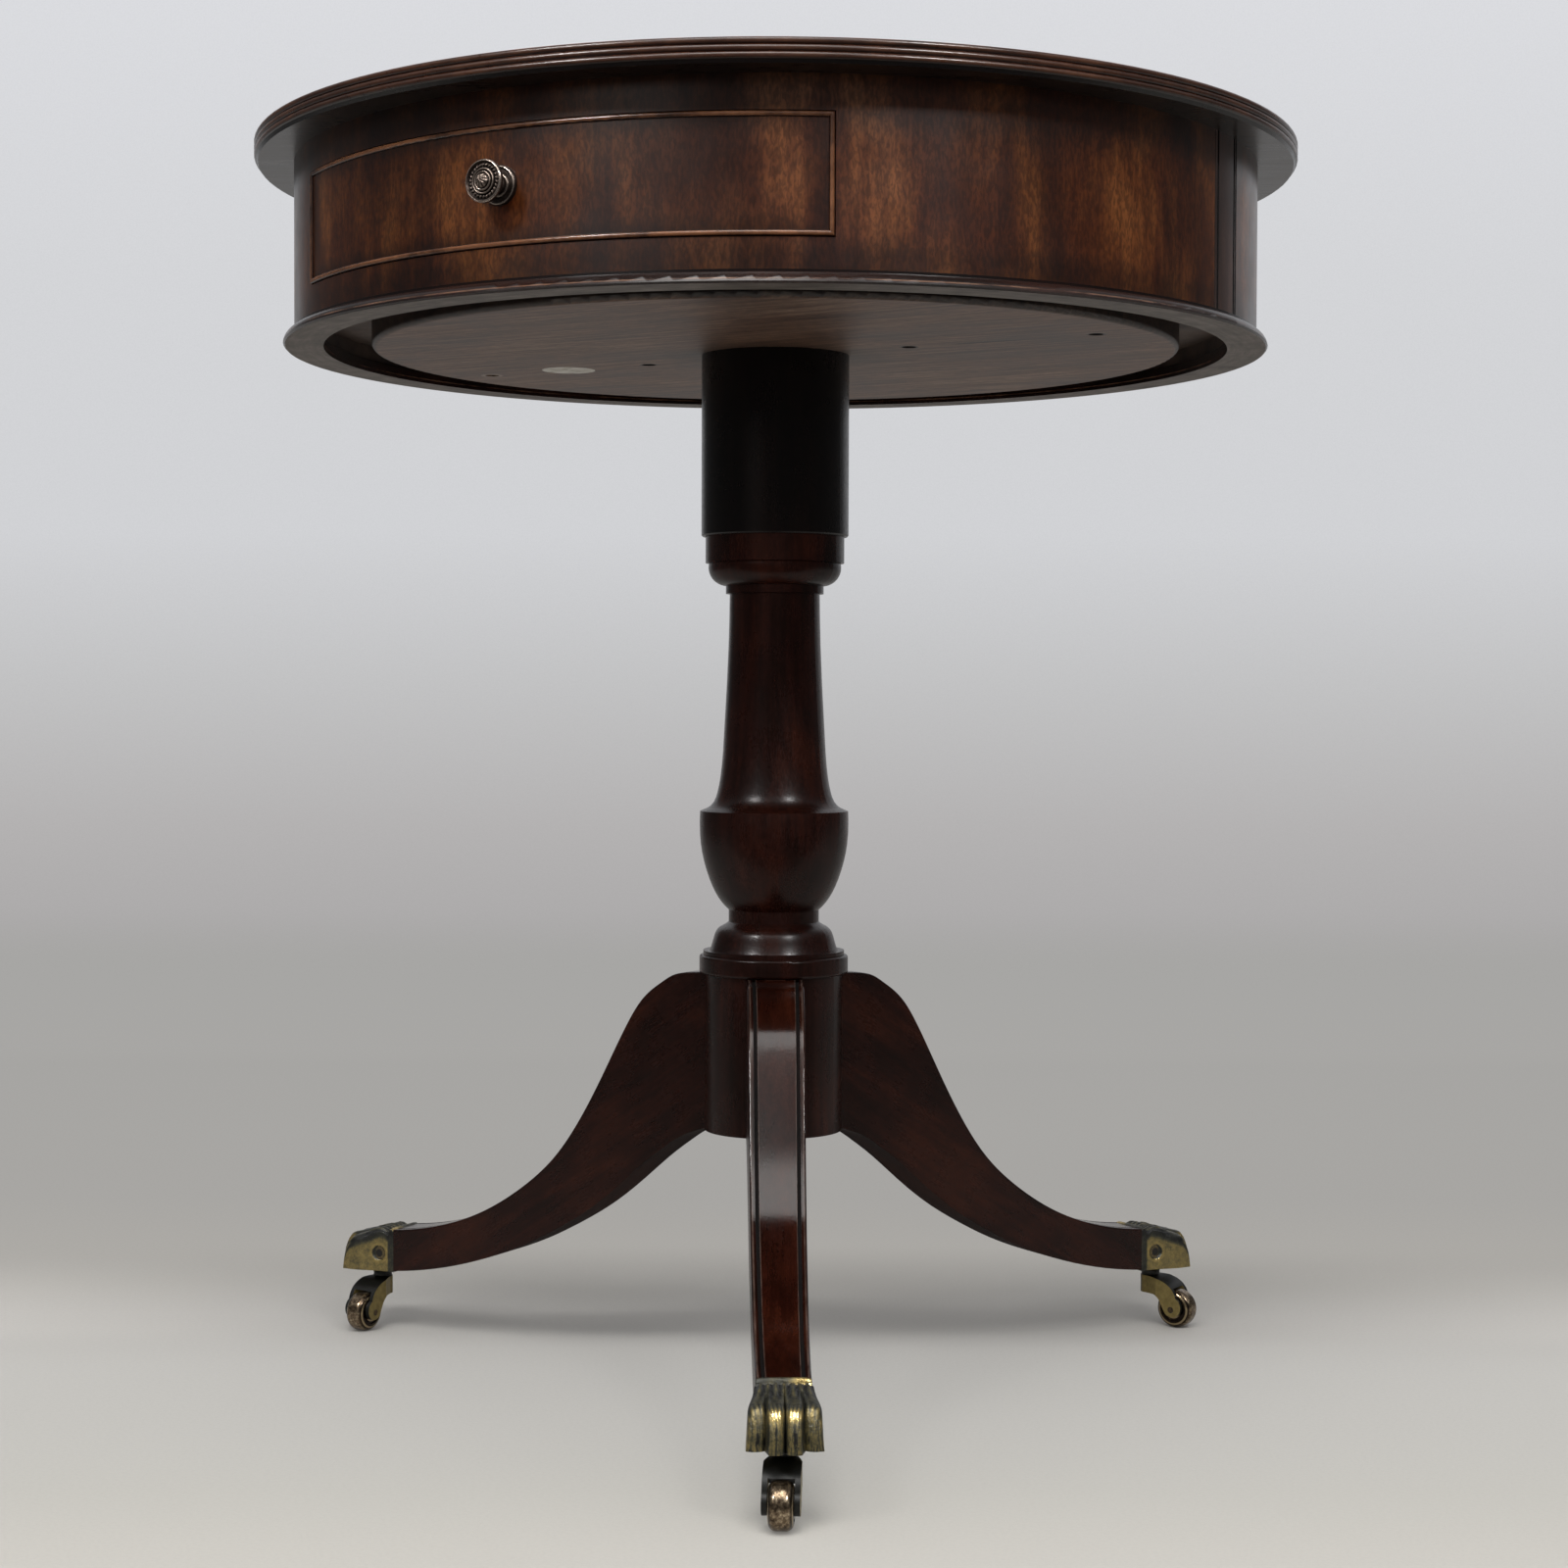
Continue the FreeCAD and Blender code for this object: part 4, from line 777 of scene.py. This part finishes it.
def claw_wear(u, t, depth):
    """How worn the brass is on the claw's upper side."""
    if u < RIB_END:
        return 0.28 + 0.40 * ease(t, -0.1, 0.7)
    if u < GROOVE_END:
        return 0.04
    toe = toe_shape(t)
    share = 1.0 if abs(t) < TOE_SPLIT else 0.45
    worn = 0.22 + 0.08 * ease(u, 0.5, 0.75) - 0.17 * tendon_wave(t) * (1 - ease(u, 0.5, 0.72))
    worn += 0.54 * share * bell(u, 0.885, 0.055) * toe ** 2
    worn += 0.15 * ease(u, 0.88, 0.97) * math.sqrt(toe)
    worn -= 0.22 * max(0.0, fur_strokes(u, t)) * bell(u, 0.85, 0.09)
    worn -= 0.24 * nail_lines(t) * ease(u, 0.92, 0.97)
    worn -= 0.22 * ease(depth, 0.0005, 0.0018) * (1 - 0.5 * ease(u, 0.84, 0.93))
    return worn - 0.2 * ease(abs(t), 0.88, 1.0) * (1 - ease(u, 0.8, 0.95))


def claw_point(u, t, drop):
    """A point of the claw's surface in its leg's plane frame, and how worn it is there."""
    shift = (claw_reach(t) - 1) * ease(u, 0.15, 1.0)
    x = CLAW_START + CLAW_LENGTH * (u + shift)
    lean = 1 - 0.05 * ease(u, 0.2, 0.5) * (1 - drop)
    half = CLAW_HALF * lerp_table(CLAW_SIDE, u) * lean
    high = CLAW_BOTTOM + CLAW_HEIGHT * lerp_table(CLAW_TOP, u)
    over = max(0.0, abs(t) - 0.6) / 0.4
    round_drop = 0.0011 + 0.0036 * ease(u, 0.12, 0.4) * (1 - 0.65 * ease(u, 0.76, 1.0))
    high -= round_drop * (1 - math.sqrt(max(0.0, 1 - over * over)))
    if abs(t) < FLANK:
        depth = claw_relief(u, t)
    else:
        depth = claw_relief(u, FLANK) * (1 - abs(t)) / (1 - FLANK)
    steep = ease(u, 0.78, 1.0)
    high -= depth * (1 - 0.6 * steep)
    x -= depth * steep
    z = high + (CLAW_BOTTOM - high) * drop
    if abs(t) == 1.0:
        worn = 0.53 - 0.40 * (1 - ease(drop, 0.02, 0.22)) - 0.30 * (1 - ease(u, 0.085, 0.11))
    else:
        worn = claw_wear(u, t, depth)
    return Vector((x, half * t, z)), worn


def side_recess(point, worn):
    """Sinks the round seat of the side screw, with a raised rim about it."""
    away = math.hypot(point.x - SCREW_X, point.z - SCREW_Z)
    outwards = 1 if point.y > 0 else -1
    if away < SEAT_RADIUS:
        point.y -= outwards * 0.0011 * (1 - ease(away, 0.0038, SEAT_RADIUS))
        worn -= 0.35
    elif away < SEAT_RADIUS + SEAT_RIM:
        point.y += outwards * 0.00022 * math.sin(math.pi * (away - SEAT_RADIUS) / SEAT_RIM)
        worn += 0.08
    return point, worn


def claw_rows():
    """The grid's places along, across and down the claw, row by row, with the front's rows last."""
    rows = []
    for i in range(LONG_COUNT + FRONT_COUNT + 1):
        u = min(1.0, i / LONG_COUNT)
        front_drop = max(0, i - LONG_COUNT) / FRONT_COUNT
        left = [(u, -1.0, max(1 - j / SIDE_COUNT, front_drop)) for j in range(SIDE_COUNT)]
        top = [(u, -1 + 2 * j / WIDE_COUNT, front_drop) for j in range(WIDE_COUNT + 1)]
        right = [(u, 1.0, max((j + 1) / SIDE_COUNT, front_drop)) for j in range(SIDE_COUNT)]
        rows.append(left + top + right)
    return rows


def claw_mesh(name):
    """A lion's paw over the leg's end, as one closed grid with a flat sole."""
    mesh = bmesh.new()
    wear, across, nail = (mesh.verts.layers.float.new(layer) for layer in ("wear", "across", "nail"))
    grid = []
    for row in claw_rows():
        line = []
        for u, t, drop in row:
            point, worn = claw_point(u, t, drop)
            if abs(t) == 1.0:
                point, worn = side_recess(point, worn)
            vertex = mesh.verts.new(point)
            vertex[wear] = worn
            vertex[across] = point.y
            vertex[nail] = ease(u, 0.84, 0.9) if abs(t) < 1.0 else 0.0
            line.append(vertex)
        grid.append(line)
    for low, high in zip(grid, grid[1:]):
        for j in range(len(low) - 1):
            mesh.faces.new((low[j], low[j + 1], high[j + 1], high[j]))
    mesh.faces.new(list(reversed(grid[0])))
    bmesh.ops.remove_doubles(mesh, verts=mesh.verts, dist=1e-6)
    bmesh.ops.holes_fill(mesh, edges=[edge for edge in mesh.edges if edge.is_boundary], sides=0)
    return mesh_data(name, mesh)


def lathe(name, profile, steps, wear_at, ripple=None):
    """A turned form about +Z, whose profile runs in pairs of radius and height."""
    mesh = bmesh.new()
    wear = mesh.verts.layers.float.new("wear")
    rings = []
    for index, (radius, height) in enumerate(profile):
        ring = []
        for step in range(steps):
            angle = 2 * math.pi * step / steps
            lift = ripple(index, radius, angle) if ripple else 0.0
            vertex = mesh.verts.new((radius * math.cos(angle), radius * math.sin(angle), height + lift))
            vertex[wear] = wear_at(index, radius, height, lift)
            ring.append(vertex)
        rings.append(ring)
    for low, high in zip(rings, rings[1:]):
        for step in range(steps):
            after = (step + 1) % steps
            mesh.faces.new((low[step], low[after], high[after], high[step]))
    mesh.faces.new(list(reversed(rings[0])))
    mesh.faces.new(rings[-1])
    bmesh.ops.remove_doubles(mesh, verts=mesh.verts, dist=1e-7)
    return mesh_data(name, mesh)


BOSS_PROFILE = (
    (0.0054, 0.0325), (0.0060, 0.0327), (0.0058, 0.0342), (0.0062, 0.0356), (0.0070, 0.0370),
    (0.0084, 0.0382), (0.0084, 0.0388)
)


def build_claws(brass):
    """A paw at each foot, and under it a turned boss for the caster's stem."""
    for name, azimuth, _ in LEGS:
        turn = Matrix.Rotation(math.radians(azimuth - 90), 4, "Z")
        paw = claw_mesh("paw_" + name)
        piece = new_piece("paw_" + name, paw, turn, 50, brass, "pedestal")
        boss = lathe("paw_boss_" + name, BOSS_PROFILE, 48, lambda *_: 0.08)
        seat = turn @ Matrix.Translation((STEM_PLACE, 0, 0))
        under = new_piece("paw_boss_" + name, boss, seat, 40, brass, "pedestal")
        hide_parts("claw_" + name)
        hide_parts("claw_" + name)


KNOB_PROFILE = (
    (0.0024, -0.0200), (0.0024, 0.0018), (0.0042, 0.0019), (0.0044, 0.0026), (0.0040, 0.0032),
    (0.0036, 0.0044), (0.0036, 0.0056), (0.0042, 0.0070), (0.0052, 0.0084), (0.0068, 0.0098),
    (0.0086, 0.0110), (0.0100, 0.0120), (0.01075, 0.0130), (0.0110, 0.0140), (0.01095, 0.0149),
    (0.0107, 0.0155), (0.0103, 0.0158), (0.0099, 0.0157), (0.0096, 0.0153), (0.0094, 0.0147),
    (0.0091, 0.0144), (0.0088, 0.0145), (0.0085, 0.0147), (0.0082, 0.0149), (0.0079, 0.0150),
    (0.0076, 0.0149), (0.0073, 0.0147), (0.0070, 0.0145), (0.0068, 0.0147), (0.0066, 0.0153),
    (0.0064, 0.0157), (0.0061, 0.0158), (0.0058, 0.0156), (0.0056, 0.0151), (0.0054, 0.0149),
    (0.0052, 0.0151), (0.0050, 0.0157), (0.0048, 0.0161), (0.0045, 0.0162), (0.0042, 0.0160),
    (0.0040, 0.0158), (0.0037, 0.0162), (0.0034, 0.0167), (0.0030, 0.0172), (0.0026, 0.0176),
    (0.0022, 0.0179), (0.0018, 0.0181), (0.0014, 0.0183), (0.0010, 0.0184), (0.0006, 0.0184),
    (0.0002, 0.0184)
)
ROSE_PROFILE = (
    (0.0024, -0.0005), (0.0102, -0.0005), (0.0102, 0.0012), (0.0100, 0.0020), (0.0097, 0.0025),
    (0.0093, 0.0026), (0.0090, 0.0022), (0.0088, 0.0016), (0.0084, 0.0014), (0.0078, 0.0015),
    (0.0070, 0.0016), (0.0064, 0.0016), (0.0062, 0.0020), (0.0059, 0.0024), (0.0055, 0.0026),
    (0.0051, 0.0024), (0.0048, 0.0021), (0.0044, 0.0020), (0.0024, 0.0020)
)
KNOB_FOOT = 0.0018
# Places in the knob's profile, counted from its start.
DISH_START, DISH_END, BOSS_START = 19, 28, 40
RUBBED_RIMS = (30, 31, 32, 37, 38, 39)
DIRTY_GROOVES = (20, 27, 28, 34, 35, 41)


def knob_ripple(index, radius, angle):
    """Slanted rope strokes in the dish, and small pips on the middle boss."""
    if 0.0070 < radius < 0.0092 and DISH_START < index < DISH_END:
        return 0.00042 * math.sin(26 * angle + 1300 * radius) * (1 - abs(radius - 0.0081) / 0.0012)
    if radius < 0.0037 and index > BOSS_START:
        return 0.00022 * math.sin(9 * angle + 900 * radius) * min(1.0, radius / 0.0012)
    return 0.0


def knob_wear(index, radius, height, lift):
    """How bright the knob is rubbed: most on its rims, least in its grooves."""
    if height < KNOB_FOOT:
        return 0.2
    bright = 0.36
    if 0.0101 < radius < 0.0111 and height > 0.0146:
        bright = 0.72
    if index in RUBBED_RIMS:
        bright = 0.66
    if index in DIRTY_GROOVES:
        bright = 0.1
    if radius < 0.0036 and height > 0.016:
        bright = 0.55
    return bright + lift * 700


def build_knob(bronze):
    """The drawer's knob, and the rose behind it."""
    place = Matrix.Translation((0, -FRIEZE_RADIUS, DRAWER_MIDDLE)) @ Matrix.Rotation(math.pi / 2, 4, "X")
    turned = lathe("knob_turned", KNOB_PROFILE, 208, knob_wear, knob_ripple)
    knob = new_piece("knob_turned", turned, place, 60, bronze, "drawer")
    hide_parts("drawer_knob")
    rose = lathe("rose_turned", ROSE_PROFILE, 120, lambda *at: 0.7 if at[2] > 0.0022 else 0.3)
    plate = new_piece("rose_turned", rose, place, 60, bronze, "drawer")
    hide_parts("knob_rose")


def dress_drum():
    """Materials of all wood and iron above the pillar."""
    dress(veneer("drum_veneer"), "frieze_front", "frieze_back")
    dress(veneer("drawer_veneer", drawer=True), "drawer_front")
    dress(top_veneer("top_field_veneer"), "top_board")
    dress(lipping_wood("rim_mahogany"), "top_lipping")
    dress(moulding_wood("moulding_mahogany"), "base_moulding")
    dress(board_wood("board_underside"), "turntable_board")
    dress(strip_wood("strip_mahogany"), "strip_right", "strip_left")
    dress(bead_wood("cockbead_mahogany"), "cockbead_top", "cockbead_bottom", "cockbead_right",
          "cockbead_left")
    dress(lining_wood("lining_lengthways", "y"), "drawer_side_right", "drawer_side_left", "runner_right",
          "runner_left", "kicker_right", "kicker_left")
    dress(lining_wood("lining_across", "x"), "drawer_back", "drawer_bottom", "drawer_stop", "back_stops",
          "top_blocks")
    dress(lining_wood("floor_wood", "x", (58, 42, 32), (88, 68, 54)), "drum_floor")
    dress(plug_wood("pale_plug_wood"), "hole_plug")
    dress(iron("dark_iron"), "bearing_strap", "strap_screws", "head_screws", "pivot_bolt", "pivot_washer",
          "pivot_nut", "top_screws")


def dress_stand():
    """Materials of the pillar, its head and the legs."""
    dress(solid_mahogany("pillar_mahogany", (
        (0.34, (22, 7, 3)), (0.5, (34, 12, 7)), (0.66, (50, 21, 12))
    )), "column")
    # The head block's mahogany is a darker copy of the pillar's: painted shade under the drum.
    dress(solid_mahogany("head_mahogany_shaded", (
        (0.34, (7, 3, 2)), (0.5, (11, 5, 4)), (0.66, (18, 8, 5))
    ), specular=0.25), "head_block")
    for name, azimuth, _ in LEGS:
        dress(solid_mahogany("leg_mahogany_" + name, (
            (0.34, (21, 7, 4)), (0.5, (33, 12, 7)), (0.66, (47, 20, 11))
        ), azimuth), "leg_" + name)


def dress_metal():
    """The finer paws and knob, and materials of the rest of the brass."""
    dress(toe_screw("toe_screw_brass"), "claw_screws")
    build_claws(aged_brass("paw_brass"))
    build_knob(antique_bronze("knob_bronze"))
    dress(axle_brass("nut_brass"), "knob_nut")
    axle = axle_brass("axle_brass")
    for name, azimuth, trail in LEGS:
        dress(fork_brass("fork_brass_" + name, trail), "fork_" + name)
        dress(axle, "axle_" + name)
        centre = direction(azimuth) * STEM_PLACE + direction(trail) * TRAIL
        centre.z = WHEEL_RADIUS
        dress(wheel_brass("wheel_brass_" + name, trail, tuple(centre)), "wheel_" + name)


def in_view(x, y, z):
    """A point given in the photograph's frame: +Y is away from the camera."""
    return Matrix.Rotation(math.radians(VIEW_TURN), 4, "Z") @ Vector((x, y, z))


# The paper in the photograph's frame, from the pillar: its near edge, where it bends
# up, the bend's radius, the wall's heights, and its left edge, middle and right edge.
SWEEP_FRONT = -0.43
SWEEP_BEND = 2.4
SWEEP_RADIUS = 1.1
SWEEP_HEIGHTS = (3.0, 5.0)
SWEEP_SIDES = (-2.2, 0.0, 3.6)
SWEEP_STEPS = 24


def stage_sweep():
    """A pale floor that sweeps up into a backdrop."""
    line = [(SWEEP_FRONT, 0.0), (0.0, 0.0), (SWEEP_BEND / 2, 0.0), (SWEEP_BEND, 0.0)]
    for step in range(1, SWEEP_STEPS + 1):
        angle = math.pi / 2 * step / SWEEP_STEPS
        line.append((SWEEP_BEND + SWEEP_RADIUS * math.sin(angle), SWEEP_RADIUS * (1 - math.cos(angle))))
    for height in SWEEP_HEIGHTS:
        line.append((SWEEP_BEND + SWEEP_RADIUS, height))
    mesh = bmesh.new()
    columns = [[mesh.verts.new(in_view(x, y, z)) for y, z in line] for x in SWEEP_SIDES]
    for left, right in zip(columns, columns[1:]):
        for j in range(len(line) - 1):
            mesh.faces.new((left[j], right[j], right[j + 1], left[j + 1]))
    data = bpy.data.meshes.new("paper_sweep")
    mesh.to_mesh(data)
    mesh.free()
    data.polygons.foreach_set("use_smooth", [True] * len(data.polygons))
    data.materials.append(paper("backdrop_paper"))
    sweep = bpy.data.objects.new("paper_sweep", data)
    bpy.context.scene.collection.objects.link(sweep)


# Screen colours of the lit paper and of the floor as it is seen, each at distances beyond the pillar, and
# of the wall at heights. They paint light and shade: the lit paper's colours change with distance to even
# out the lamps, the floor as seen is brighter near the camera and dimmer behind the pillar, and the wall
# brightens upwards.
PAPER_TINTS = (
    (-0.43, (199, 196, 190)), (-0.34, (198, 195, 189)), (-0.24, (194, 192, 186)), (-0.12, (197, 195, 190)),
    (0.01, (204, 202, 198)), (0.17, (204, 201, 197)), (0.27, (196, 193, 188)), (0.37, (187, 184, 180)),
    (0.55, (177, 175, 171)), (0.76, (174, 172, 168)), (0.95, (178, 177, 174)), (1.3, (178, 177, 175)),
    (2.4, (168, 167, 165))
)
FLOOR_TINTS = (
    (-0.43, (215, 212, 205)), (-0.32, (211, 208, 202)), (-0.18, (202, 200, 196)), (0.03, (194, 192, 188)),
    (0.17, (185, 182, 178)), (0.32, (175, 172, 167)), (0.6, (170, 168, 165)), (2.4, (168, 167, 165))
)
WALL_TINTS = (
    (0.0, (168, 167, 165)), (0.03, (172, 170, 170)), (0.2, (181, 179, 179)), (0.445, (195, 195, 196)),
    (0.72, (210, 211, 214)), (1.2, (213, 214, 217)), (1.8, (221, 222, 226))
)


def tint_ramp(sh, value, tints):
    """Screen colours given at distances along a value."""
    first, last = tints[0][0], tints[-1][0]
    share = sh.line(value, first, last, 0.0, 1.0)
    return sh.ramp(share, [((place - first) / (last - first), color) for place, color in tints])


def paper(name):
    """Matt paper. What looks at its far part and wall sees the plain colour, without shading: a painted
    glow. Near the camera it sees up to half of that glow, painted light that lifts the table's cast shadow
    except in a band just behind the pillar.
    """
    sh = Shader(name)
    place = sh.place()
    _, y, z = sh.split(sh.turned(place, VIEW_TURN + 90))
    wall = sh.range(z, 0.0, 0.08)
    speckle = sh.range(sh.noise(place, 420, 3, 0.7), 0.36, 0.7)
    color = sh.mix(wall, tint_ramp(sh, y, PAPER_TINTS), tint_ramp(sh, z, WALL_TINTS))
    sh.finish(sh.darken(color, speckle, 0.96), 0.75, specular=0.2)
    plain = sh.mix(wall, tint_ramp(sh, y, FLOOR_TINTS), tint_ramp(sh, z, WALL_TINTS))
    glow = sh.node("ShaderNodeEmission")
    sh.feed(glow.inputs["Color"], sh.darken(plain, speckle, 0.96))
    rays = sh.node("ShaderNodeLightPath").outputs
    seen = sh.larger(rays["Is Camera Ray"], rays["Is Glossy Ray"])
    seen = sh.larger(seen, rays["Is Transmission Ray"])
    # Painted light: how much of the glow camera and glossy rays see, lifting the cast shadow on both sides
    # of its darkest band.
    far = sh.range(y, 0.22, 0.42, 0.0, 0.92)
    near = sh.times(sh.range(y, 0.13, 0.06, 0.0, 0.5), sh.range(y, -0.32, -0.08, 0.4, 1.0))
    share = sh.larger(sh.larger(far, near), sh.range(y, 0.7, 1.6))
    sh.feed(sh.output, sh.blend(sh.times(seen, share), sh.surface, glow))
    return sh.material


def world_light():
    """A soft room: bright above, pale behind, and dim at the sides and behind the camera.

    A view past the paper's edge sees one pale colour."""
    world = bpy.data.worlds.new("soft_room")
    bpy.context.scene.world = world
    world.use_nodes = True
    tree = Nodes(world.node_tree)
    way = tree.node("ShaderNodeTexCoord").outputs["Generated"]
    to_camera = tree.vector("DOT_PRODUCT", way, in_view(0, -1, 0))
    sides = tree.range(to_camera, -0.95, -0.75, 0.45, 0.10)
    above = tree.range(tree.split(way)[2], 0.25, 0.9, 0.0, 0.5)
    room = tree.node("ShaderNodeBackground")
    tree.feed(room.inputs["Color"], (0.97, 0.985, 1.0, 1))
    tree.feed(room.inputs["Strength"], tree.math("ADD", sides, above))
    plain = tree.node("ShaderNodeBackground")
    tree.feed(plain.inputs["Color"], srgb(205, 203, 198))
    seen = tree.node("ShaderNodeLightPath").outputs["Is Camera Ray"]
    tree.feed(tree.node("ShaderNodeOutputWorld").inputs[0], tree.blend(seen, room, plain))


# Lamps in the photograph's frame: name, place, target, width, height, power, colour,
# whether they are mirrored, and whether they give light.
WARM = (1.0, 0.985, 0.96)
WHITE = (1, 1, 1)
LEFT_PLACE = (-1.38, -1.44, 2.04)
RIGHT_PLACE = (1.12, -1.66, 2.04)
URN = (0, 0, 0.36)
LAMPS = (
    ("key_box", (-0.15, -1.3, 2.5), (0, -1.3, 0.5), 1.0, 1.1, 32, WARM, True, True),
    ("ceiling_sheen", (-0.15, -2.15, 2.5), (0, -2.15, 0.5), 1.2, 0.6, 6, WARM, True, False),
    ("top_lamp", (0, -0.55, 2.5), (0, 0.05, 0.5), 0.5, 0.5, 6, WARM, False, True),
    ("front_fill", (0.2, -3.2, 1.2), (0, 0, 0.4), 3.0, 2.0, 36, WARM, False, True),
    ("side_sheen", (-1.6, -2.55, 1.35), (0, 0, 0.7), 1.3, 0.7, 1.8, WARM, True, True),
    ("back_lamp", (0.3, 2.0, 1.7), (0, 0, 0.5), 1.6, 1.2, 2.0, WARM, False, True),
    ("spark_left", LEFT_PLACE, URN, 0.36, 0.30, 46, WHITE, True, False),
    ("side_lamp_left", LEFT_PLACE, URN, 0.5, 0.5, 9, WARM, False, True),
    ("spark_right", RIGHT_PLACE, URN, 0.36, 0.30, 46, WHITE, True, False),
    ("side_lamp_right", RIGHT_PLACE, URN, 0.5, 0.5, 9, WARM, False, True)
)


def soft_box(name, place, target, width, height, power, color, mirrored, gives_light):
    """A soft lamp. It may give light without a reflection of itself, or a reflection alone."""
    lamp = bpy.data.lights.new(name, "AREA")
    lamp.shape = "RECTANGLE"
    lamp.size = width
    lamp.size_y = height
    lamp.energy = power
    lamp.color = color
    item = bpy.data.objects.new(name, lamp)
    bpy.context.scene.collection.objects.link(item)
    spot = in_view(*place)
    item.location = spot
    item.rotation_euler = (in_view(*target) - spot).to_track_quat("-Z", "Y").to_euler()
    item.visible_glossy = mirrored
    item.visible_diffuse = gives_light


def camera():
    """The photograph's own view."""
    data = bpy.data.cameras.new("photo_camera")
    data.sensor_width = 36
    data.lens = CAMERA_LENS
    item = bpy.data.objects.new("photo_camera", data)
    bpy.context.scene.collection.objects.link(item)
    turn = Matrix.Rotation(math.radians(VIEW_TURN), 4, "Z")
    tilt = Matrix.Rotation(math.radians(90 - CAMERA_DOWN), 4, "X")
    roll = Matrix.Rotation(math.radians(CAMERA_ROLL), 4, "Z")
    item.matrix_world = Matrix.Translation(CAMERA_PLACE) @ turn @ tilt @ roll
    bpy.context.scene.camera = item


camera()
stage_sweep()
world_light()
for lamp_row in LAMPS:
    soft_box(*lamp_row)
dress_drum()
dress_stand()
dress_metal()
bpy.context.scene.view_settings.view_transform = "Standard"
